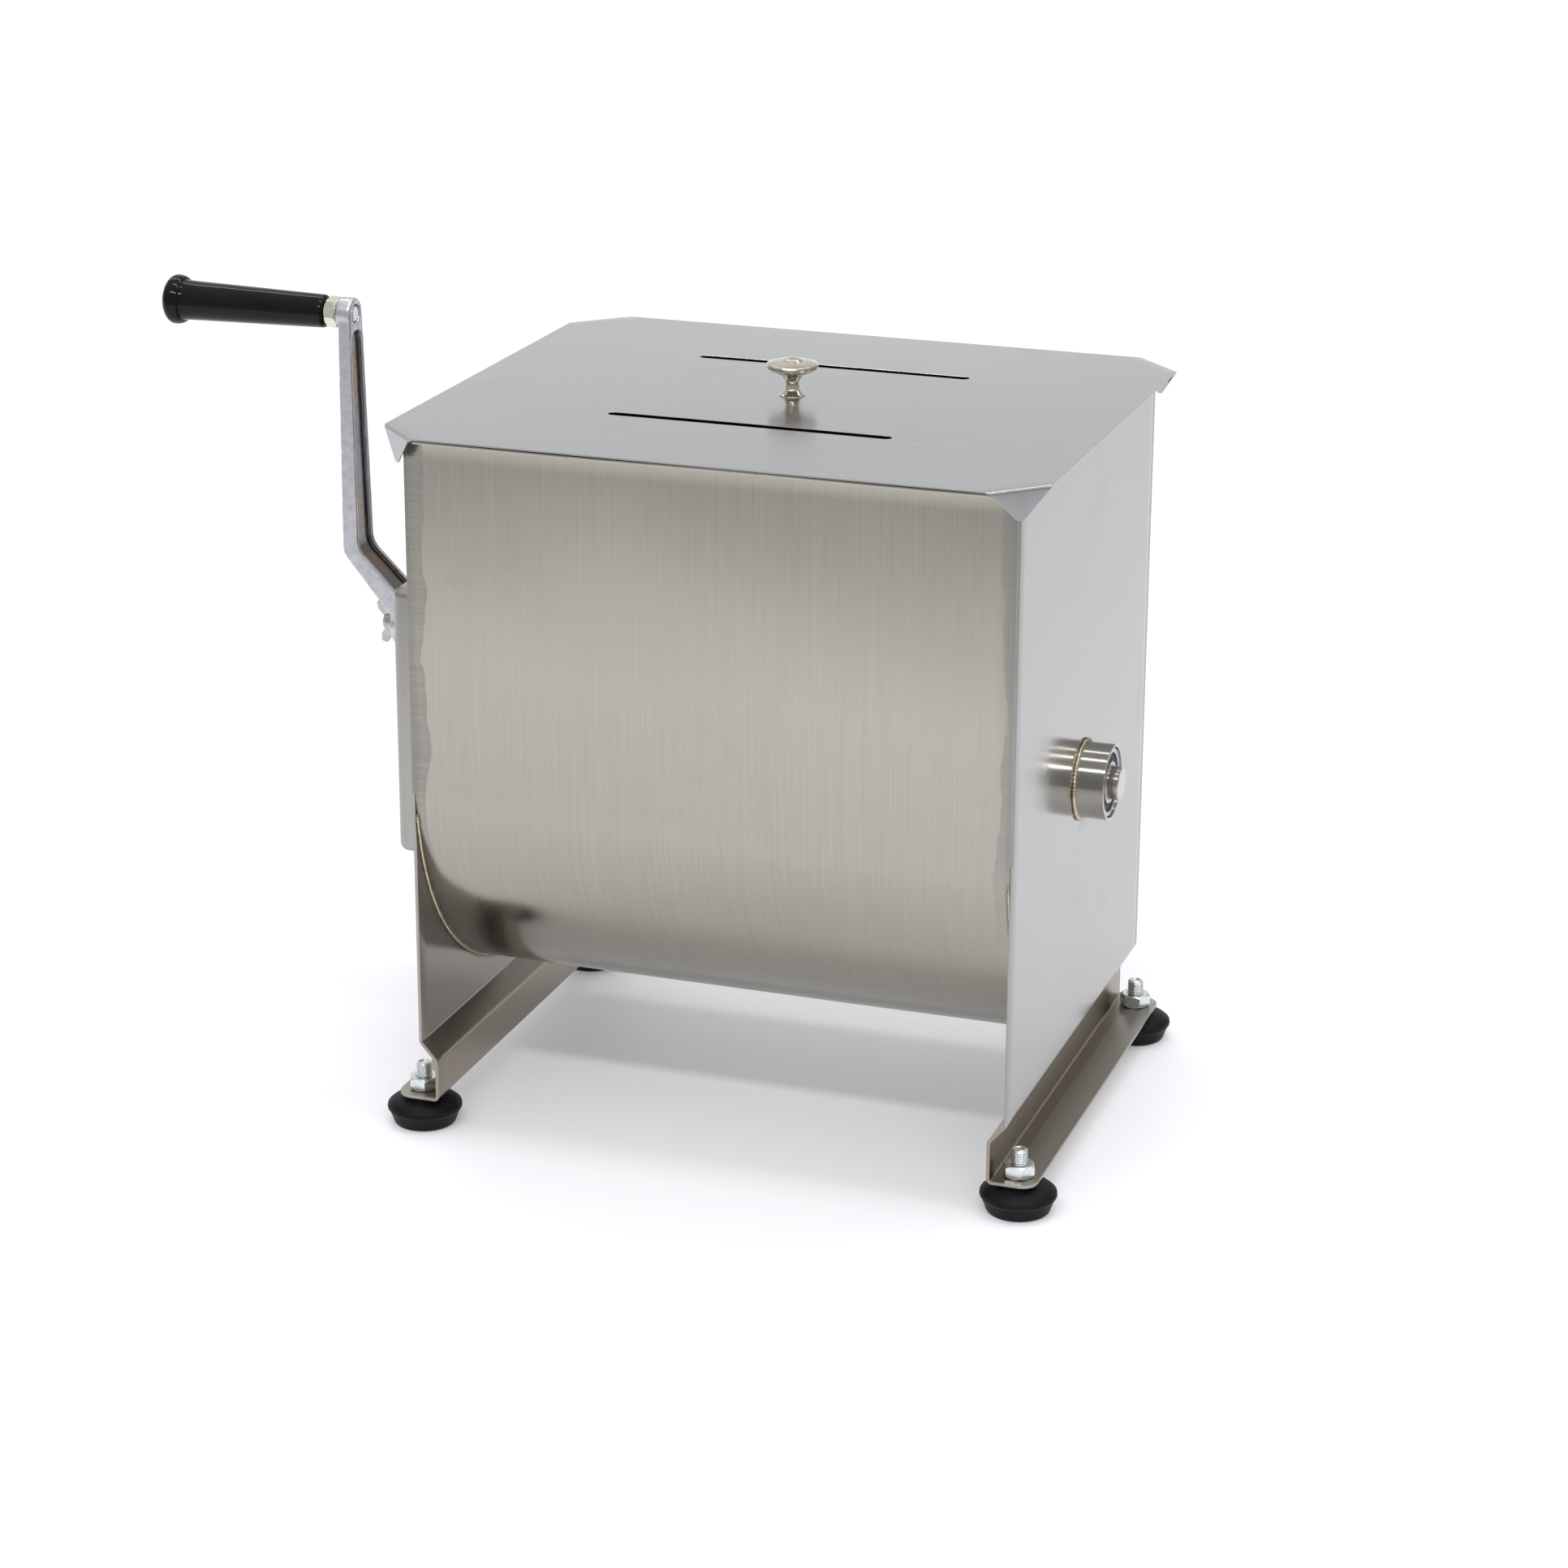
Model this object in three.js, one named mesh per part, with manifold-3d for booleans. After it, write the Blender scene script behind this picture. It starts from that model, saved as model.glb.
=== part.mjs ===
// Hand-crank tub mixer in sheet stainless steel: a U-shaped tub between two end plates that are
// folded into legs, a geared crank on the left and a paddle shaft right through.
// Millimetres, +Z up, +X along the tub towards the free bearing, the front of the tub at -Y.
// The origin is on the floor, under the middle of the whole machine with its crank up.
import * as THREE from 'three';
import { mergeVertices } from 'three/addons/utils/BufferGeometryUtils.js';
import Module from 'manifold-3d';

const wasm = await Module();
wasm.setup();

// ---- driving dimensions ----

const FIT_GAP = 0.3; // air left between pieces that touch on the real machine
const ROUND = 24; // facets round a shaft, a tube or a bore
const FINE_ROUND = 18; // facets round a small turned piece

const TUB = {
  halfLength: 185, // to the outer faces of the end plates
  radius: 151.3, // outside of the half-round bottom, and half the width
  axisZ: 220.5, // height of the paddle shaft
  sheet: 1.5,
  rimZ: 438.2,
  rimReach: 170.2, // how far the folded rim stands out from the middle
  rimCorner: 12.5, // chamfer on the rim's ends
  facets: 32,
};

const PLATE = {
  thickness: 2,
  joggleTop: 57.6,
  joggleBottom: 46,
  joggleInset: 10.1,
  flangeOut: 201.7,
  flangeBottom: 19.9,
  flangeCorner: 10,
};

const SHAFT = { radius: 10, rightEnd: 209, leftEnd: -226, chamfer: 0.8 };
const HOUSING = { outer: 23, bore: 21.3, inside: 181, outside: 203.6 };
const BEARING = { outer: 21, bore: 10.3, width: 12, recess: 1.2, innerRing: 12.9, outerRing: 17.8 };
const LIP_SEAL = { outer: 21, bore: 10.3, width: 6.4 };

const CRANK = {
  axisZ: 272.5,
  throw: 196,
  shaftRadius: 7.5,
  flat: 6,
  hubRadius: 13.6,
  hubInner: 242,
  hubOuter: 261.5,
  bossRadius: 9.8,
  bossInner: 284.5,
  bossOuter: 294.4,
  armInnerFace: 284.2,
  armOuterFace: 292.4,
  bendZ: 320.5,
  channelDepth: 2.7,
  channelRim: 2.5,
};

const GEAR = {
  module: 2,
  pinionTeeth: 13,
  wheelTeeth: 39,
  pressureAngle: THREE.MathUtils.degToRad(25),
  backlash: 0.35,
  inner: 206,
  outer: 218,
  hubRadius: 18,
  hubOuter: 222,
};

const COVER = {
  outer: 236,
  halfWidth: 65,
  bottom: 144,
  top: 315.5,
  sheet: 1.5,
  corner: 7,
  edge: 5,
  pillarY: 44,
  pillarInset: 12,
  pillarRadius: 6,
};

const PADDLE = {
  count: 6,
  pitch: 56,
  armRadius: 6,
  armEnd: 118,
  tip: 143,
  bladeWidth: 46,
  bladeSheet: 4,
  bladeDepth: 62,
  bladeTurn: THREE.MathUtils.degToRad(35),
};

const GRIP = {
  inner: 303.3,
  outer: 413.6,
  innerRadius: 10.2,
  neck: 400.2,
  neckRadius: 12.6,
  bulb: 406.3,
  bulbRadius: 15.5,
  spindleRadius: 5,
  spindleOuter: 398,
  nutAcross: 17,
  nutInner: 294.7,
  nutOuter: 302.7,
};

const LID = {
  halfLength: 200.7,
  halfWidth: 172.1,
  top: 439.8,
  sheet: 1.2,
  corner: 28.65,
  slotY: 77.8,
  slotHalfLength: 86.8,
  slotWidth: 7,
};

const KNOB = { height: 24, screwRadius: 2, screwTop: 455 };

const FOOT = {
  x: 188.7,
  y: 137.1,
  padRadius: 22.9,
  padTop: 19.6,
  studRadius: 5,
  studBottom: 6,
  studTop: 39,
  nutAcross: 17,
  nutHeight: 8,
};

// the machine's own box along X runs from the grip's end to the edge of the right feet
const CENTRE_X = (FOOT.x + FOOT.padRadius - GRIP.outer) / 2;

// ---- finishes ----

function finish(color, roughness, metalness) {
  return new THREE.MeshStandardMaterial({ color, roughness, metalness });
}

const FINISH = {
  brushed: finish(0xa09d93, 0.38, 1),
  satin: finish(0xc2c4c6, 0.32, 1),
  lid: finish(0xb4b4b6, 0.28, 1),
  turned: finish(0xa8a49c, 0.22, 1),
  zinc: finish(0xbcc4c8, 0.3, 1),
  cast: finish(0xa9abae, 0.5, 0.9),
  nickel: finish(0xb5aa98, 0.25, 1),
  bearing: finish(0xb9bcc0, 0.2, 1),
  bronze: finish(0xa8814a, 0.35, 1),
  seal: finish(0x3a3c44, 0.6, 0),
  rubber: finish(0x1c1c1e, 0.75, 0),
  plastic: finish(0x0d0d10, 0.12, 0),
};

// ---- making closed solids ----

/** Merges shared corners, drops slivers, and turns the faces outwards. */
function closed(source) {
  const bare = source.clone();
  for (const name of Object.keys(bare.attributes)) {
    if (name !== 'position') bare.deleteAttribute(name);
  }
  const merged = mergeVertices(bare, 1e-4);
  const index = merged.index.array;
  const position = merged.attributes.position;
  const kept = [];
  const corner = [new THREE.Vector3(), new THREE.Vector3(), new THREE.Vector3()];
  let volume = 0;
  for (let i = 0; i < index.length; i += 3) {
    const [a, b, c] = [index[i], index[i + 1], index[i + 2]];
    if (a === b || b === c || a === c) continue;
    kept.push(a, b, c);
    [a, b, c].forEach((vertex, k) => corner[k].fromBufferAttribute(position, vertex));
    volume += corner[0].dot(corner[1].cross(corner[2]));
  }
  if (volume < 0) kept.reverse();
  merged.setIndex(kept);
  return merged;
}

function toManifold(geometry) {
  const mesh = closed(geometry);
  return new wasm.Manifold(
    new wasm.Mesh({
      numProp: 3,
      vertProperties: new Float32Array(mesh.attributes.position.array),
      triVerts: new Uint32Array(mesh.index.array),
    }),
  );
}

function toGeometry(manifold) {
  const mesh = manifold.getMesh();
  const geometry = new THREE.BufferGeometry();
  geometry.setAttribute('position', new THREE.BufferAttribute(mesh.vertProperties, 3));
  geometry.setIndex(new THREE.BufferAttribute(mesh.triVerts, 1));
  return geometry;
}

function cut(geometry, ...tools) {
  return toGeometry(tools.reduce((solid, tool) => solid.subtract(toManifold(tool)), toManifold(geometry)));
}

function join(geometry, ...others) {
  return toGeometry(others.reduce((solid, other) => solid.add(toManifold(other)), toManifold(geometry)));
}

function common(geometry, other) {
  return toGeometry(toManifold(geometry).intersect(toManifold(other)));
}

/** An outline drawn in two axes becomes a prism along the third. */
function prism(shape, low, high, basis, curveSegments = ROUND / 4) {
  const geometry = new THREE.ExtrudeGeometry(shape, {
    depth: high - low,
    bevelEnabled: false,
    curveSegments,
  });
  return geometry.applyMatrix4(basis);
}

const AXIS = {
  x: new THREE.Vector3(1, 0, 0),
  y: new THREE.Vector3(0, 1, 0),
  z: new THREE.Vector3(0, 0, 1),
};

/** Outline in (Y, Z), prism along X. */
function prismX(shape, low, high, curveSegments) {
  const basis = new THREE.Matrix4().makeBasis(AXIS.y, AXIS.z, AXIS.x).setPosition(low, 0, 0);
  return prism(shape, low, high, basis, curveSegments);
}

/** Outline in (X, Z), prism along Y. */
function prismY(shape, low, high, curveSegments) {
  const back = AXIS.y.clone().negate();
  const basis = new THREE.Matrix4().makeBasis(AXIS.x, AXIS.z, back).setPosition(0, high, 0);
  return prism(shape, low, high, basis, curveSegments);
}

/** Outline in (X, Y), prism along Z. */
function prismZ(shape, low, high, curveSegments) {
  return prism(shape, low, high, new THREE.Matrix4().setPosition(0, 0, low), curveSegments);
}

function box(x0, x1, y0, y1, z0, z1) {
  const geometry = new THREE.BoxGeometry(x1 - x0, y1 - y0, z1 - z0);
  return geometry.translate((x0 + x1) / 2, (y0 + y1) / 2, (z0 + z1) / 2);
}

function outline(points) {
  return new THREE.Shape(points.map(([a, b]) => new THREE.Vector2(a, b)));
}

function roundedRectangle(halfWidth, low, high, radius) {
  const shape = new THREE.Shape();
  shape.moveTo(-halfWidth + radius, low);
  shape.lineTo(halfWidth - radius, low);
  shape.absarc(halfWidth - radius, low + radius, radius, -Math.PI / 2, 0);
  shape.lineTo(halfWidth, high - radius);
  shape.absarc(halfWidth - radius, high - radius, radius, 0, Math.PI / 2);
  shape.lineTo(-halfWidth + radius, high);
  shape.absarc(-halfWidth + radius, high - radius, radius, Math.PI / 2, Math.PI);
  shape.lineTo(-halfWidth, low + radius);
  shape.absarc(-halfWidth + radius, low + radius, radius, Math.PI, Math.PI * 1.5);
  return shape;
}

/** Turned about an axis along X at height z: the profile is a list of [x, radius]. */
function turnedX(profile, z, facets = ROUND) {
  const points = profile.map(([along, radius]) => new THREE.Vector2(radius, along));
  const geometry = new THREE.LatheGeometry(points, facets);
  return geometry.rotateZ(-Math.PI / 2).translate(0, 0, z);
}

/** Turned about a vertical axis: the profile is a list of [z, radius]. */
function turnedZ(profile, x, y, facets = FINE_ROUND) {
  const points = profile.map(([along, radius]) => new THREE.Vector2(radius, along));
  const geometry = new THREE.LatheGeometry(points, facets);
  return geometry.rotateX(Math.PI / 2).translate(x, y, 0);
}

/** A plain ring or, with no bore, a plain disc about an axis along X. */
function ringX(x0, x1, outer, bore, z, facets = ROUND) {
  const [low, high] = [Math.min(x0, x1), Math.max(x0, x1)];
  if (bore === 0) return turnedX([[low, 0], [low, outer], [high, outer], [high, 0]], z, facets);
  const profile = [[low, bore], [low, outer], [high, outer], [high, bore], [low, bore]];
  return turnedX(profile, z, facets);
}

function hexagon(acrossFlats) {
  const radius = acrossFlats / Math.sqrt(3);
  const corners = [];
  for (let i = 0; i < 6; i += 1) {
    const angle = (i * Math.PI) / 3 + Math.PI / 6;
    corners.push([radius * Math.cos(angle), radius * Math.sin(angle)]);
  }
  return outline(corners);
}

// ---- the assembly ----

const machine = new THREE.Group();
machine.position.x = -CENTRE_X;

function piece(name, geometry, material) {
  const mesh = new THREE.Mesh(closed(geometry), material);
  mesh.name = name;
  machine.add(mesh);
  return mesh;
}

// ---- tub and end plates ----

function tubWrapper() {
  const { radius, axisZ, sheet, rimZ, rimReach, rimCorner, halfLength, facets } = TUB;
  const inner = radius - sheet;
  const under = rimZ - sheet;
  const section = new THREE.Shape();
  section.moveTo(rimReach, under);
  section.lineTo(rimReach, rimZ);
  section.lineTo(inner, rimZ);
  section.lineTo(inner, axisZ);
  section.absarc(0, axisZ, inner, 0, -Math.PI, true);
  section.lineTo(-inner, rimZ);
  section.lineTo(-rimReach, rimZ);
  section.lineTo(-rimReach, under);
  section.lineTo(-radius, under);
  section.lineTo(-radius, axisZ);
  section.absarc(0, axisZ, radius, Math.PI, Math.PI * 2, false);
  section.lineTo(radius, under);
  const end = halfLength - PLATE.thickness - FIT_GAP;
  const shell = prismX(section, -end, end, facets);
  const plan = outline([
    [end, rimReach - rimCorner],
    [end - rimCorner, rimReach],
    [-end + rimCorner, rimReach],
    [-end, rimReach - rimCorner],
    [-end, -rimReach + rimCorner],
    [-end + rimCorner, -rimReach],
    [end - rimCorner, -rimReach],
    [end, -rimReach + rimCorner],
  ]);
  return common(shell, prismZ(plan, 0, rimZ + 1));
}

/** One end plate with its joggled legs and turned-out foot flange; side is +1 or -1 along X. */
function endPlate(side) {
  const { thickness, joggleTop, joggleBottom, joggleInset, flangeOut, flangeBottom, flangeCorner } = PLATE;
  const face = TUB.halfLength;
  const legFace = face - joggleInset;
  const flangeTop = flangeBottom + thickness;
  const bevel = thickness * Math.tan(Math.PI / 8);
  const section = outline([
    [side * face, TUB.rimZ],
    [side * face, joggleTop],
    [side * legFace, joggleBottom],
    [side * legFace, flangeTop],
    [side * flangeOut, flangeTop],
    [side * flangeOut, flangeBottom],
    [side * (legFace - thickness), flangeBottom],
    [side * (legFace - thickness), joggleBottom + bevel],
    [side * (face - thickness), joggleTop + bevel],
    [side * (face - thickness), TUB.rimZ],
  ]);
  const sheet = prismY(section, -TUB.radius, TUB.radius);
  const keep = roundedRectangle(flangeOut, -TUB.radius, TUB.radius, flangeCorner);
  const trimmed = common(sheet, prismZ(keep, 0, TUB.rimZ + 1));
  const holes = [-1, 1].map((end) =>
    turnedZ([[0, 0], [0, FOOT.studRadius + FIT_GAP], [PLATE.joggleBottom, FOOT.studRadius + FIT_GAP],
      [PLATE.joggleBottom, 0]], side * FOOT.x, end * FOOT.y));
  const bore = ringX(side * (face - 10), side * (face + 10), HOUSING.outer + FIT_GAP, 0, TUB.axisZ);
  return cut(trimmed, ...holes, bore);
}

piece('tub_wrapper', tubWrapper(), FINISH.brushed);
piece('left_end_plate', endPlate(-1), FINISH.satin);
piece('right_end_plate', endPlate(1), FINISH.satin);

// ---- paddle shaft and its bearings ----

function bearingPieces(prefix, side) {
  const outside = HOUSING.outside - BEARING.recess;
  const inside = outside - BEARING.width;
  const shieldInset = 0.8;
  const z = TUB.axisZ;
  const ring = (x0, x1, outer, bore) => ringX(side * x0, side * x1, outer, bore, z);
  const tube = ring(HOUSING.inside, HOUSING.outside, HOUSING.outer, HOUSING.bore);
  piece(`${prefix}_bearing_housing`, tube, FINISH.turned);
  const outerRing = ring(inside, outside, BEARING.outer, BEARING.outerRing);
  piece(`${prefix}_bearing_outer_ring`, outerRing, FINISH.bearing);
  piece(`${prefix}_bearing_shield`, ring(inside + shieldInset, outside - shieldInset,
    BEARING.outerRing - FIT_GAP, BEARING.innerRing + FIT_GAP), FINISH.seal);
  const innerRing = ring(inside, outside, BEARING.innerRing, BEARING.bore);
  piece(`${prefix}_bearing_inner_ring`, innerRing, FINISH.bearing);
  piece(`${prefix}_lip_seal`, ring(HOUSING.inside + FIT_GAP, HOUSING.inside + FIT_GAP + LIP_SEAL.width,
    LIP_SEAL.outer, LIP_SEAL.bore), FINISH.seal);
}

const KEY = { halfWidth: 3, low: 6.5, high: 12.5, inner: 206.5, outer: 221.5 };
const RETAINER = { inner: 222.4, outer: 223.6, groove: 8.8 };

function paddleShaft() {
  const { radius, rightEnd, leftEnd, chamfer } = SHAFT;
  const bar = turnedX([
    [leftEnd, 0],
    [leftEnd, radius - chamfer],
    [leftEnd + chamfer, radius],
    [-RETAINER.outer - FIT_GAP / 2, radius],
    [-RETAINER.outer - FIT_GAP / 2, RETAINER.groove],
    [-RETAINER.inner + FIT_GAP / 2, RETAINER.groove],
    [-RETAINER.inner + FIT_GAP / 2, radius],
    [rightEnd - chamfer, radius],
    [rightEnd, radius - chamfer],
    [rightEnd, 0],
  ], TUB.axisZ);
  const side = KEY.halfWidth + FIT_GAP;
  const floor = TUB.axisZ + KEY.low - FIT_GAP;
  const seat = box(-KEY.outer - FIT_GAP, -KEY.inner + FIT_GAP, -side, side, floor, TUB.axisZ + KEY.high);
  return cut(bar, seat);
}

/** A round arm that stands on the shaft, with a flat blade set at a slant across its end. */
function paddle(x, turn) {
  const { armRadius, armEnd, tip, bladeWidth, bladeSheet, bladeDepth, bladeTurn } = PADDLE;
  const foot = SHAFT.radius + FIT_GAP + 0.05;
  const arm = turnedZ([[foot, 0], [foot, armRadius], [armEnd, armRadius], [armEnd, 0]], 0, 0, 20);
  const blade = new THREE.Shape();
  const half = bladeWidth / 2;
  const low = tip - bladeDepth;
  const shoulder = 12;
  blade.moveTo(-half + shoulder, low);
  blade.lineTo(half - shoulder, low);
  blade.lineTo(half, low + shoulder);
  blade.lineTo(half, tip - shoulder);
  blade.absarc(half - shoulder, tip - shoulder, shoulder, 0, Math.PI / 2, false);
  blade.lineTo(-half + shoulder, tip);
  blade.absarc(-half + shoulder, tip - shoulder, shoulder, Math.PI / 2, Math.PI, false);
  blade.lineTo(-half, low + shoulder);
  const sheet = prismY(blade, -bladeSheet / 2, bladeSheet / 2, 4).rotateZ(bladeTurn);
  return join(arm, sheet).rotateX(turn).translate(x, 0, TUB.axisZ);
}

['left', 'right'].forEach((prefix) => bearingPieces(prefix, prefix === 'left' ? -1 : 1));
piece('paddle_shaft', paddleShaft(), FINISH.turned);
for (let i = 0; i < PADDLE.count; i += 1) {
  const x = (i - (PADDLE.count - 1) / 2) * PADDLE.pitch;
  piece(`paddle_${i + 1}`, paddle(x, (i * Math.PI) / 3), FINISH.turned);
}

// ---- gears ----

function involute(angle) {
  return Math.tan(angle) - angle;
}

/** A spur gear's outline about its own centre, with one tooth pointing up. */
function gearOutline(teeth) {
  const { module, pressureAngle, backlash } = GEAR;
  const pitchRadius = (module * teeth) / 2;
  const baseRadius = pitchRadius * Math.cos(pressureAngle);
  const tipRadius = pitchRadius + module;
  const rootRadius = pitchRadius - 1.25 * module;
  const halfTooth = Math.PI / (2 * teeth) - backlash / (2 * pitchRadius) + involute(pressureAngle);
  const start = Math.max(baseRadius, rootRadius);
  const steps = 2;
  const flank = [[rootRadius, halfTooth]];
  for (let i = start > rootRadius ? 0 : 1; i <= steps; i += 1) {
    const radius = start + ((tipRadius - start) * i) / steps;
    const roll = Math.acos(Math.min(1, baseRadius / radius));
    flank.push([radius, halfTooth - involute(roll)]);
  }
  const points = [];
  for (let tooth = 0; tooth < teeth; tooth += 1) {
    const centre = Math.PI / 2 + (2 * Math.PI * tooth) / teeth;
    flank.forEach(([radius, half]) => points.push([radius, centre - half]));
    flank.slice().reverse().forEach(([radius, half]) => points.push([radius, centre + half]));
  }
  return outline(points.map(([radius, angle]) => [radius * Math.cos(angle), radius * Math.sin(angle)]));
}

function wheel() {
  const rim = prismX(gearOutline(GEAR.wheelTeeth), -GEAR.outer, -GEAR.inner);
  const hub = ringX(-GEAR.hubOuter, -GEAR.inner - 1, GEAR.hubRadius, 0, 0);
  const bore = ringX(-GEAR.hubOuter - 1, -GEAR.inner + 1, SHAFT.radius + FIT_GAP, 0, 0);
  const side = KEY.halfWidth + FIT_GAP;
  const keyway = box(-GEAR.hubOuter - 1, -GEAR.inner + 1, -side, side, 0, KEY.high + FIT_GAP);
  return cut(join(rim, hub), bore, keyway).translate(0, 0, TUB.axisZ);
}

function pinion() {
  const rim = prismX(gearOutline(GEAR.pinionTeeth), -GEAR.outer - 0.5, -GEAR.inner + 0.5);
  const bore = ringX(-GEAR.outer - 1, -GEAR.inner + 1, CRANK.shaftRadius + FIT_GAP, 0, 0);
  return cut(rim, bore).translate(0, 0, CRANK.axisZ);
}

piece('driven_gear', wheel(), FINISH.zinc);
const keyHeights = [TUB.axisZ + KEY.low, TUB.axisZ + KEY.high];
piece('gear_key', box(-KEY.outer, -KEY.inner, -KEY.halfWidth, KEY.halfWidth, ...keyHeights),
  FINISH.zinc);
const retainerBore = RETAINER.groove + FIT_GAP;
piece('gear_retaining_ring', ringX(-RETAINER.inner, -RETAINER.outer, 14, retainerBore, TUB.axisZ), FINISH.zinc);
piece('pinion', pinion(), FINISH.zinc);

// ---- crank shaft, its bearing and the cover over the gears ----

const CRANK_BEARING = { inner: 185.3, outer: 204.5, radius: 17, bushRadius: 12.7 };
const CRANK_STUD = { radius: 4, outer: 269 };

function crankShaft() {
  const shoulder = CRANK.hubOuter - 3;
  const bar = turnedX([
    [-CRANK_STUD.outer, 0],
    [-CRANK_STUD.outer, CRANK_STUD.radius],
    [-shoulder, CRANK_STUD.radius],
    [-shoulder, CRANK.shaftRadius],
    [-CRANK_BEARING.inner - 1, CRANK.shaftRadius],
    [-CRANK_BEARING.inner - 1, 0],
  ], CRANK.axisZ);
  const flat = box(-shoulder - 1, -CRANK.hubInner, CRANK.flat, 20, CRANK.axisZ - 20, CRANK.axisZ + 20);
  return cut(bar, flat);
}

/** A box with round corners and a round edge to its outer face, inset from the cover's outside. */
function coverForm(inset, inner) {
  const { outer, halfWidth, bottom, top, corner, edge } = COVER;
  const round = edge - inset;
  const shape = roundedRectangle(halfWidth - edge, bottom + edge, top - edge, corner - edge);
  const body = new THREE.ExtrudeGeometry(shape, {
    depth: outer - edge - inner,
    bevelEnabled: true,
    bevelThickness: round,
    bevelSize: round,
    bevelSegments: 3,
    curveSegments: 2,
  });
  const basis = new THREE.Matrix4().makeBasis(AXIS.y, AXIS.z, AXIS.x).setPosition(-outer + edge, 0, 0);
  return body.applyMatrix4(basis);
}

function gearCover() {
  const { outer, sheet, edge, halfWidth, pillarY, pillarInset, bottom, top } = COVER;
  const inner = TUB.halfLength + FIT_GAP;
  const plateSide = box(-inner, 0, -halfWidth - 1, halfWidth + 1, bottom - 1, top + 1);
  const holes = [ringX(-outer - 1, -outer + 10, CRANK.shaftRadius + 1, 0, CRANK.axisZ)];
  for (const y of [-pillarY, pillarY]) {
    for (const z of [bottom + pillarInset, top - pillarInset]) {
      holes.push(ringX(-outer - 1, -outer + 10, 2.8, 0, z, 16).translate(0, y, 0));
    }
  }
  return cut(coverForm(0, inner - edge), coverForm(sheet, inner - 2 * edge), plateSide, ...holes);
}

function coverPillar(y, z) {
  const tip = -COVER.outer + COVER.sheet + FIT_GAP;
  const { pillarRadius } = COVER;
  const profile = [[tip, 2.8], [tip, pillarRadius], [-TUB.halfLength - FIT_GAP, pillarRadius],
    [-TUB.halfLength - FIT_GAP, 0], [tip + 16, 0], [tip + 16, 2.8], [tip, 2.8]];
  return turnedX(profile, z, 16).translate(0, y, 0);
}

function coverScrew(y, z) {
  const seat = -COVER.outer - FIT_GAP;
  const profile = [[seat - 3, 0], [seat - 3, 2.6], [seat - 2.2, 4.2], [seat, 4.8], [seat, 2.5], [seat + 14, 2.5],
    [seat + 14, 0]];
  return turnedX(profile, z, 16).translate(0, y, 0);
}

const bearingRing = (outer, bore) =>
  ringX(-CRANK_BEARING.inner, -CRANK_BEARING.outer, outer, bore, CRANK.axisZ);
const housingRing = bearingRing(CRANK_BEARING.radius, CRANK_BEARING.bushRadius + FIT_GAP);
piece('crank_bearing_housing', housingRing, FINISH.turned);
piece('crank_bush', bearingRing(CRANK_BEARING.bushRadius, CRANK.shaftRadius + FIT_GAP), FINISH.bronze);
piece('crank_shaft', crankShaft(), FINISH.turned);
piece('gear_cover', gearCover(), FINISH.brushed);
let corner = 0;
for (const y of [-COVER.pillarY, COVER.pillarY]) {
  for (const z of [COVER.bottom + COVER.pillarInset, COVER.top - COVER.pillarInset]) {
    corner += 1;
    piece(`cover_pillar_${corner}`, coverPillar(y, z), FINISH.zinc);
    piece(`cover_screw_${corner}`, coverScrew(y, z), FINISH.zinc);
  }
}

// ---- crank arm, grip and wing nut ----

/** The arm seen along X: two rounds joined by straight sides that close in towards the top. */
function armFront(lowRadius, highRadius) {
  const lean = Math.asin((lowRadius - highRadius) / CRANK.throw);
  const shape = new THREE.Shape();
  shape.absarc(0, CRANK.axisZ, lowRadius, Math.PI - lean, Math.PI * 2 + lean, false);
  shape.absarc(0, CRANK.axisZ + CRANK.throw, highRadius, lean, Math.PI - lean, false);
  return shape;
}

/** The dog-leg seen along Y, as its line on the tub side and its line on the far side. */
const ARM_SIDE = {
  near: [[246, 285], [282, CRANK.bendZ], [CRANK.armInnerFace, CRANK.axisZ + CRANK.throw]],
  far: [[CRANK.armOuterFace, CRANK.axisZ + CRANK.throw], [292, 322.5], [289.5, 314.5], [262.2, 281.4],
    [260.5, 280.9]],
};

function armBlank() {
  const side = [...ARM_SIDE.near, ...ARM_SIDE.far, [260.5, CRANK.axisZ], [246, CRANK.axisZ]];
  const section = outline(side.map(([x, z]) => [-x, z]));
  return prismY(section, -CRANK.hubRadius, CRANK.hubRadius);
}

/** The long round-ended recess down one face of the arm. */
function armChannel(line, reach) {
  const { channelRim, channelDepth, hubRadius, bossRadius } = CRANK;
  const inwards = line.map(([x, z]) => [x + reach * channelDepth, z]);
  const outwards = line.map(([x, z]) => [x - reach * 8, z]).reverse();
  const section = outline([...inwards, ...outwards].map(([x, z]) => [-x, z]));
  const top = CRANK.axisZ + CRANK.throw - bossRadius - 4;
  const low = hubRadius - channelRim;
  const high = bossRadius - channelRim;
  const shape = new THREE.Shape();
  shape.moveTo(-low, 292);
  shape.lineTo(low, 292);
  shape.lineTo(high, top - high);
  shape.absarc(0, top - high, high, 0, Math.PI, false);
  return common(prismY(section, -20, 20), prismX(shape, -320, -240, 6));
}

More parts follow.
